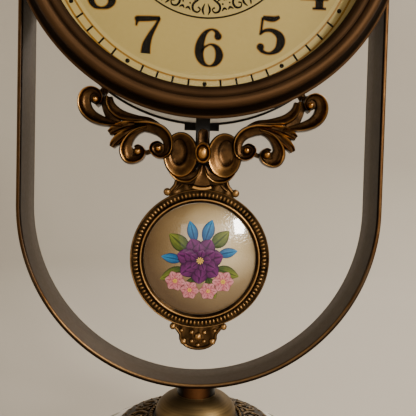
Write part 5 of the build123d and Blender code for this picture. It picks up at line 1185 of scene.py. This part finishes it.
# Outlines of the hands: share of the length, half width
HOUR_BLADE = ((0.1, 1.4), (0.4, 1.3), (0.5, 1.5), (0.6, 3.2), (0.68, 4.3), (0.76, 3.4), (0.86, 1.3),
              (1, 0.2))
MINUTE_BLADE = ((0.08, 1.2), (0.42, 1.1), (0.52, 1.3), (0.62, 2.4), (0.7, 3.2), (0.78, 2.5), (0.88, 1),
                (1, 0.2))


def hands():
    """Both hands at ten past ten."""
    hand("hour_hand", "hour", 305, 46, HOUR_BLADE, 3.2)
    hand("minute_hand", "minute", 60, 68, MINUTE_BLADE, 2.2)


# Studio


def ground():
    """Round pale floor that sweeps up into a wall all about."""
    shape = Shape()
    floor, sweep, wall = 1000, 700, 2400
    profile = [(0.01, 0, 0), (floor / 2, 0, 0), (floor, 0, 0)]
    for i in range(1, 17):
        up, out = polar(sweep, pi / 2 * i / 16)
        profile.append((floor + out, sweep - up, 0))
    profile.append((floor + sweep, wall, 0))
    turned(shape, profile, about_upright, segments=96, closed=False)
    piece = shape.build("studio_ground", paper())


def lamp(name, place, target, size, power, color):
    data = bpy.data.lights.new(name, "AREA")
    data.shape = "RECTANGLE"
    data.size, data.size_y = size
    data.energy = power
    data.color = color
    light = linked(name, data)
    light.location = place
    light.rotation_euler = (Vector(target) - Vector(place)).to_track_quat("-Z", "Y").to_euler()


MIDDLE = (0, 0, 0.18)
# Lamps, in metres: name, place, target, size, power, colour
LAMPS = (
    ("window", (0.62, -1.15, 0.48), MIDDLE, (0.15, 0.22), 13, (1, 0.96, 0.9)),
    ("low_front", (0.1, -1.1, 0.3), (0, 0, 0.26), (0.7, 0.35), 2.2, (1, 0.95, 0.88)),
    ("rear_fill", (0.6, 1, 0.9), MIDDLE, (0.7, 0.7), 4.5, (1, 0.95, 0.88)),
    ("key", (0.8, -0.5, 1), MIDDLE, (0.45, 0.45), 13, (1, 0.95, 0.87)),
    ("left_fill", (-1, -0.5, 0.7), MIDDLE, (0.7, 0.7), 2.4, (1, 0.93, 0.84)),
    ("overhead", (0.6, 0.35, 1.6), (0.35, 0.5, 0.3), (1, 1), 10, (1, 0.96, 0.9)),
    ("wall_wash", (1.1, 0.5, 1.3), (1.2, 1.5, 0.5), (0.6, 0.6), 7, (1, 0.97, 0.92)),
)


def lights():
    for values in LAMPS:
        lamp(*values)
    world = bpy.data.worlds.new("studio_world")
    world.use_nodes = True
    glow = world.node_tree.nodes["Background"].inputs
    glow["Color"].default_value = (0.9, 0.86, 0.8, 1)
    glow["Strength"].default_value = 0.3
    bpy.context.scene.world = world


# Camera at the photograph's place, in millimetres, and its turns in degrees
CAMERA_PLACE = (-6.55, -281.3, 177.45)
CAMERA_TURNS = ((-2.15, "Z"), (88.05, "X"), (1.44, "Z"))


def camera():
    data = bpy.data.cameras.new("photo_camera")
    data.sensor_width = 36
    data.lens = 45
    data.clip_start = 0.01
    pose = Matrix.Translation(Vector(CAMERA_PLACE) * MM)
    for turn, axis in CAMERA_TURNS:
        pose = pose @ Matrix.Rotation(radians(turn), 4, axis)
    eye = linked("photo_camera", data)
    eye.matrix_world = pose
    bpy.context.scene.camera = eye


scroll()
medallion()
porcelain_spray()
foot_sprays()
filigree()
dome()
loop()
bezel()
dial_print()
hands()
ground()
lights()
camera()
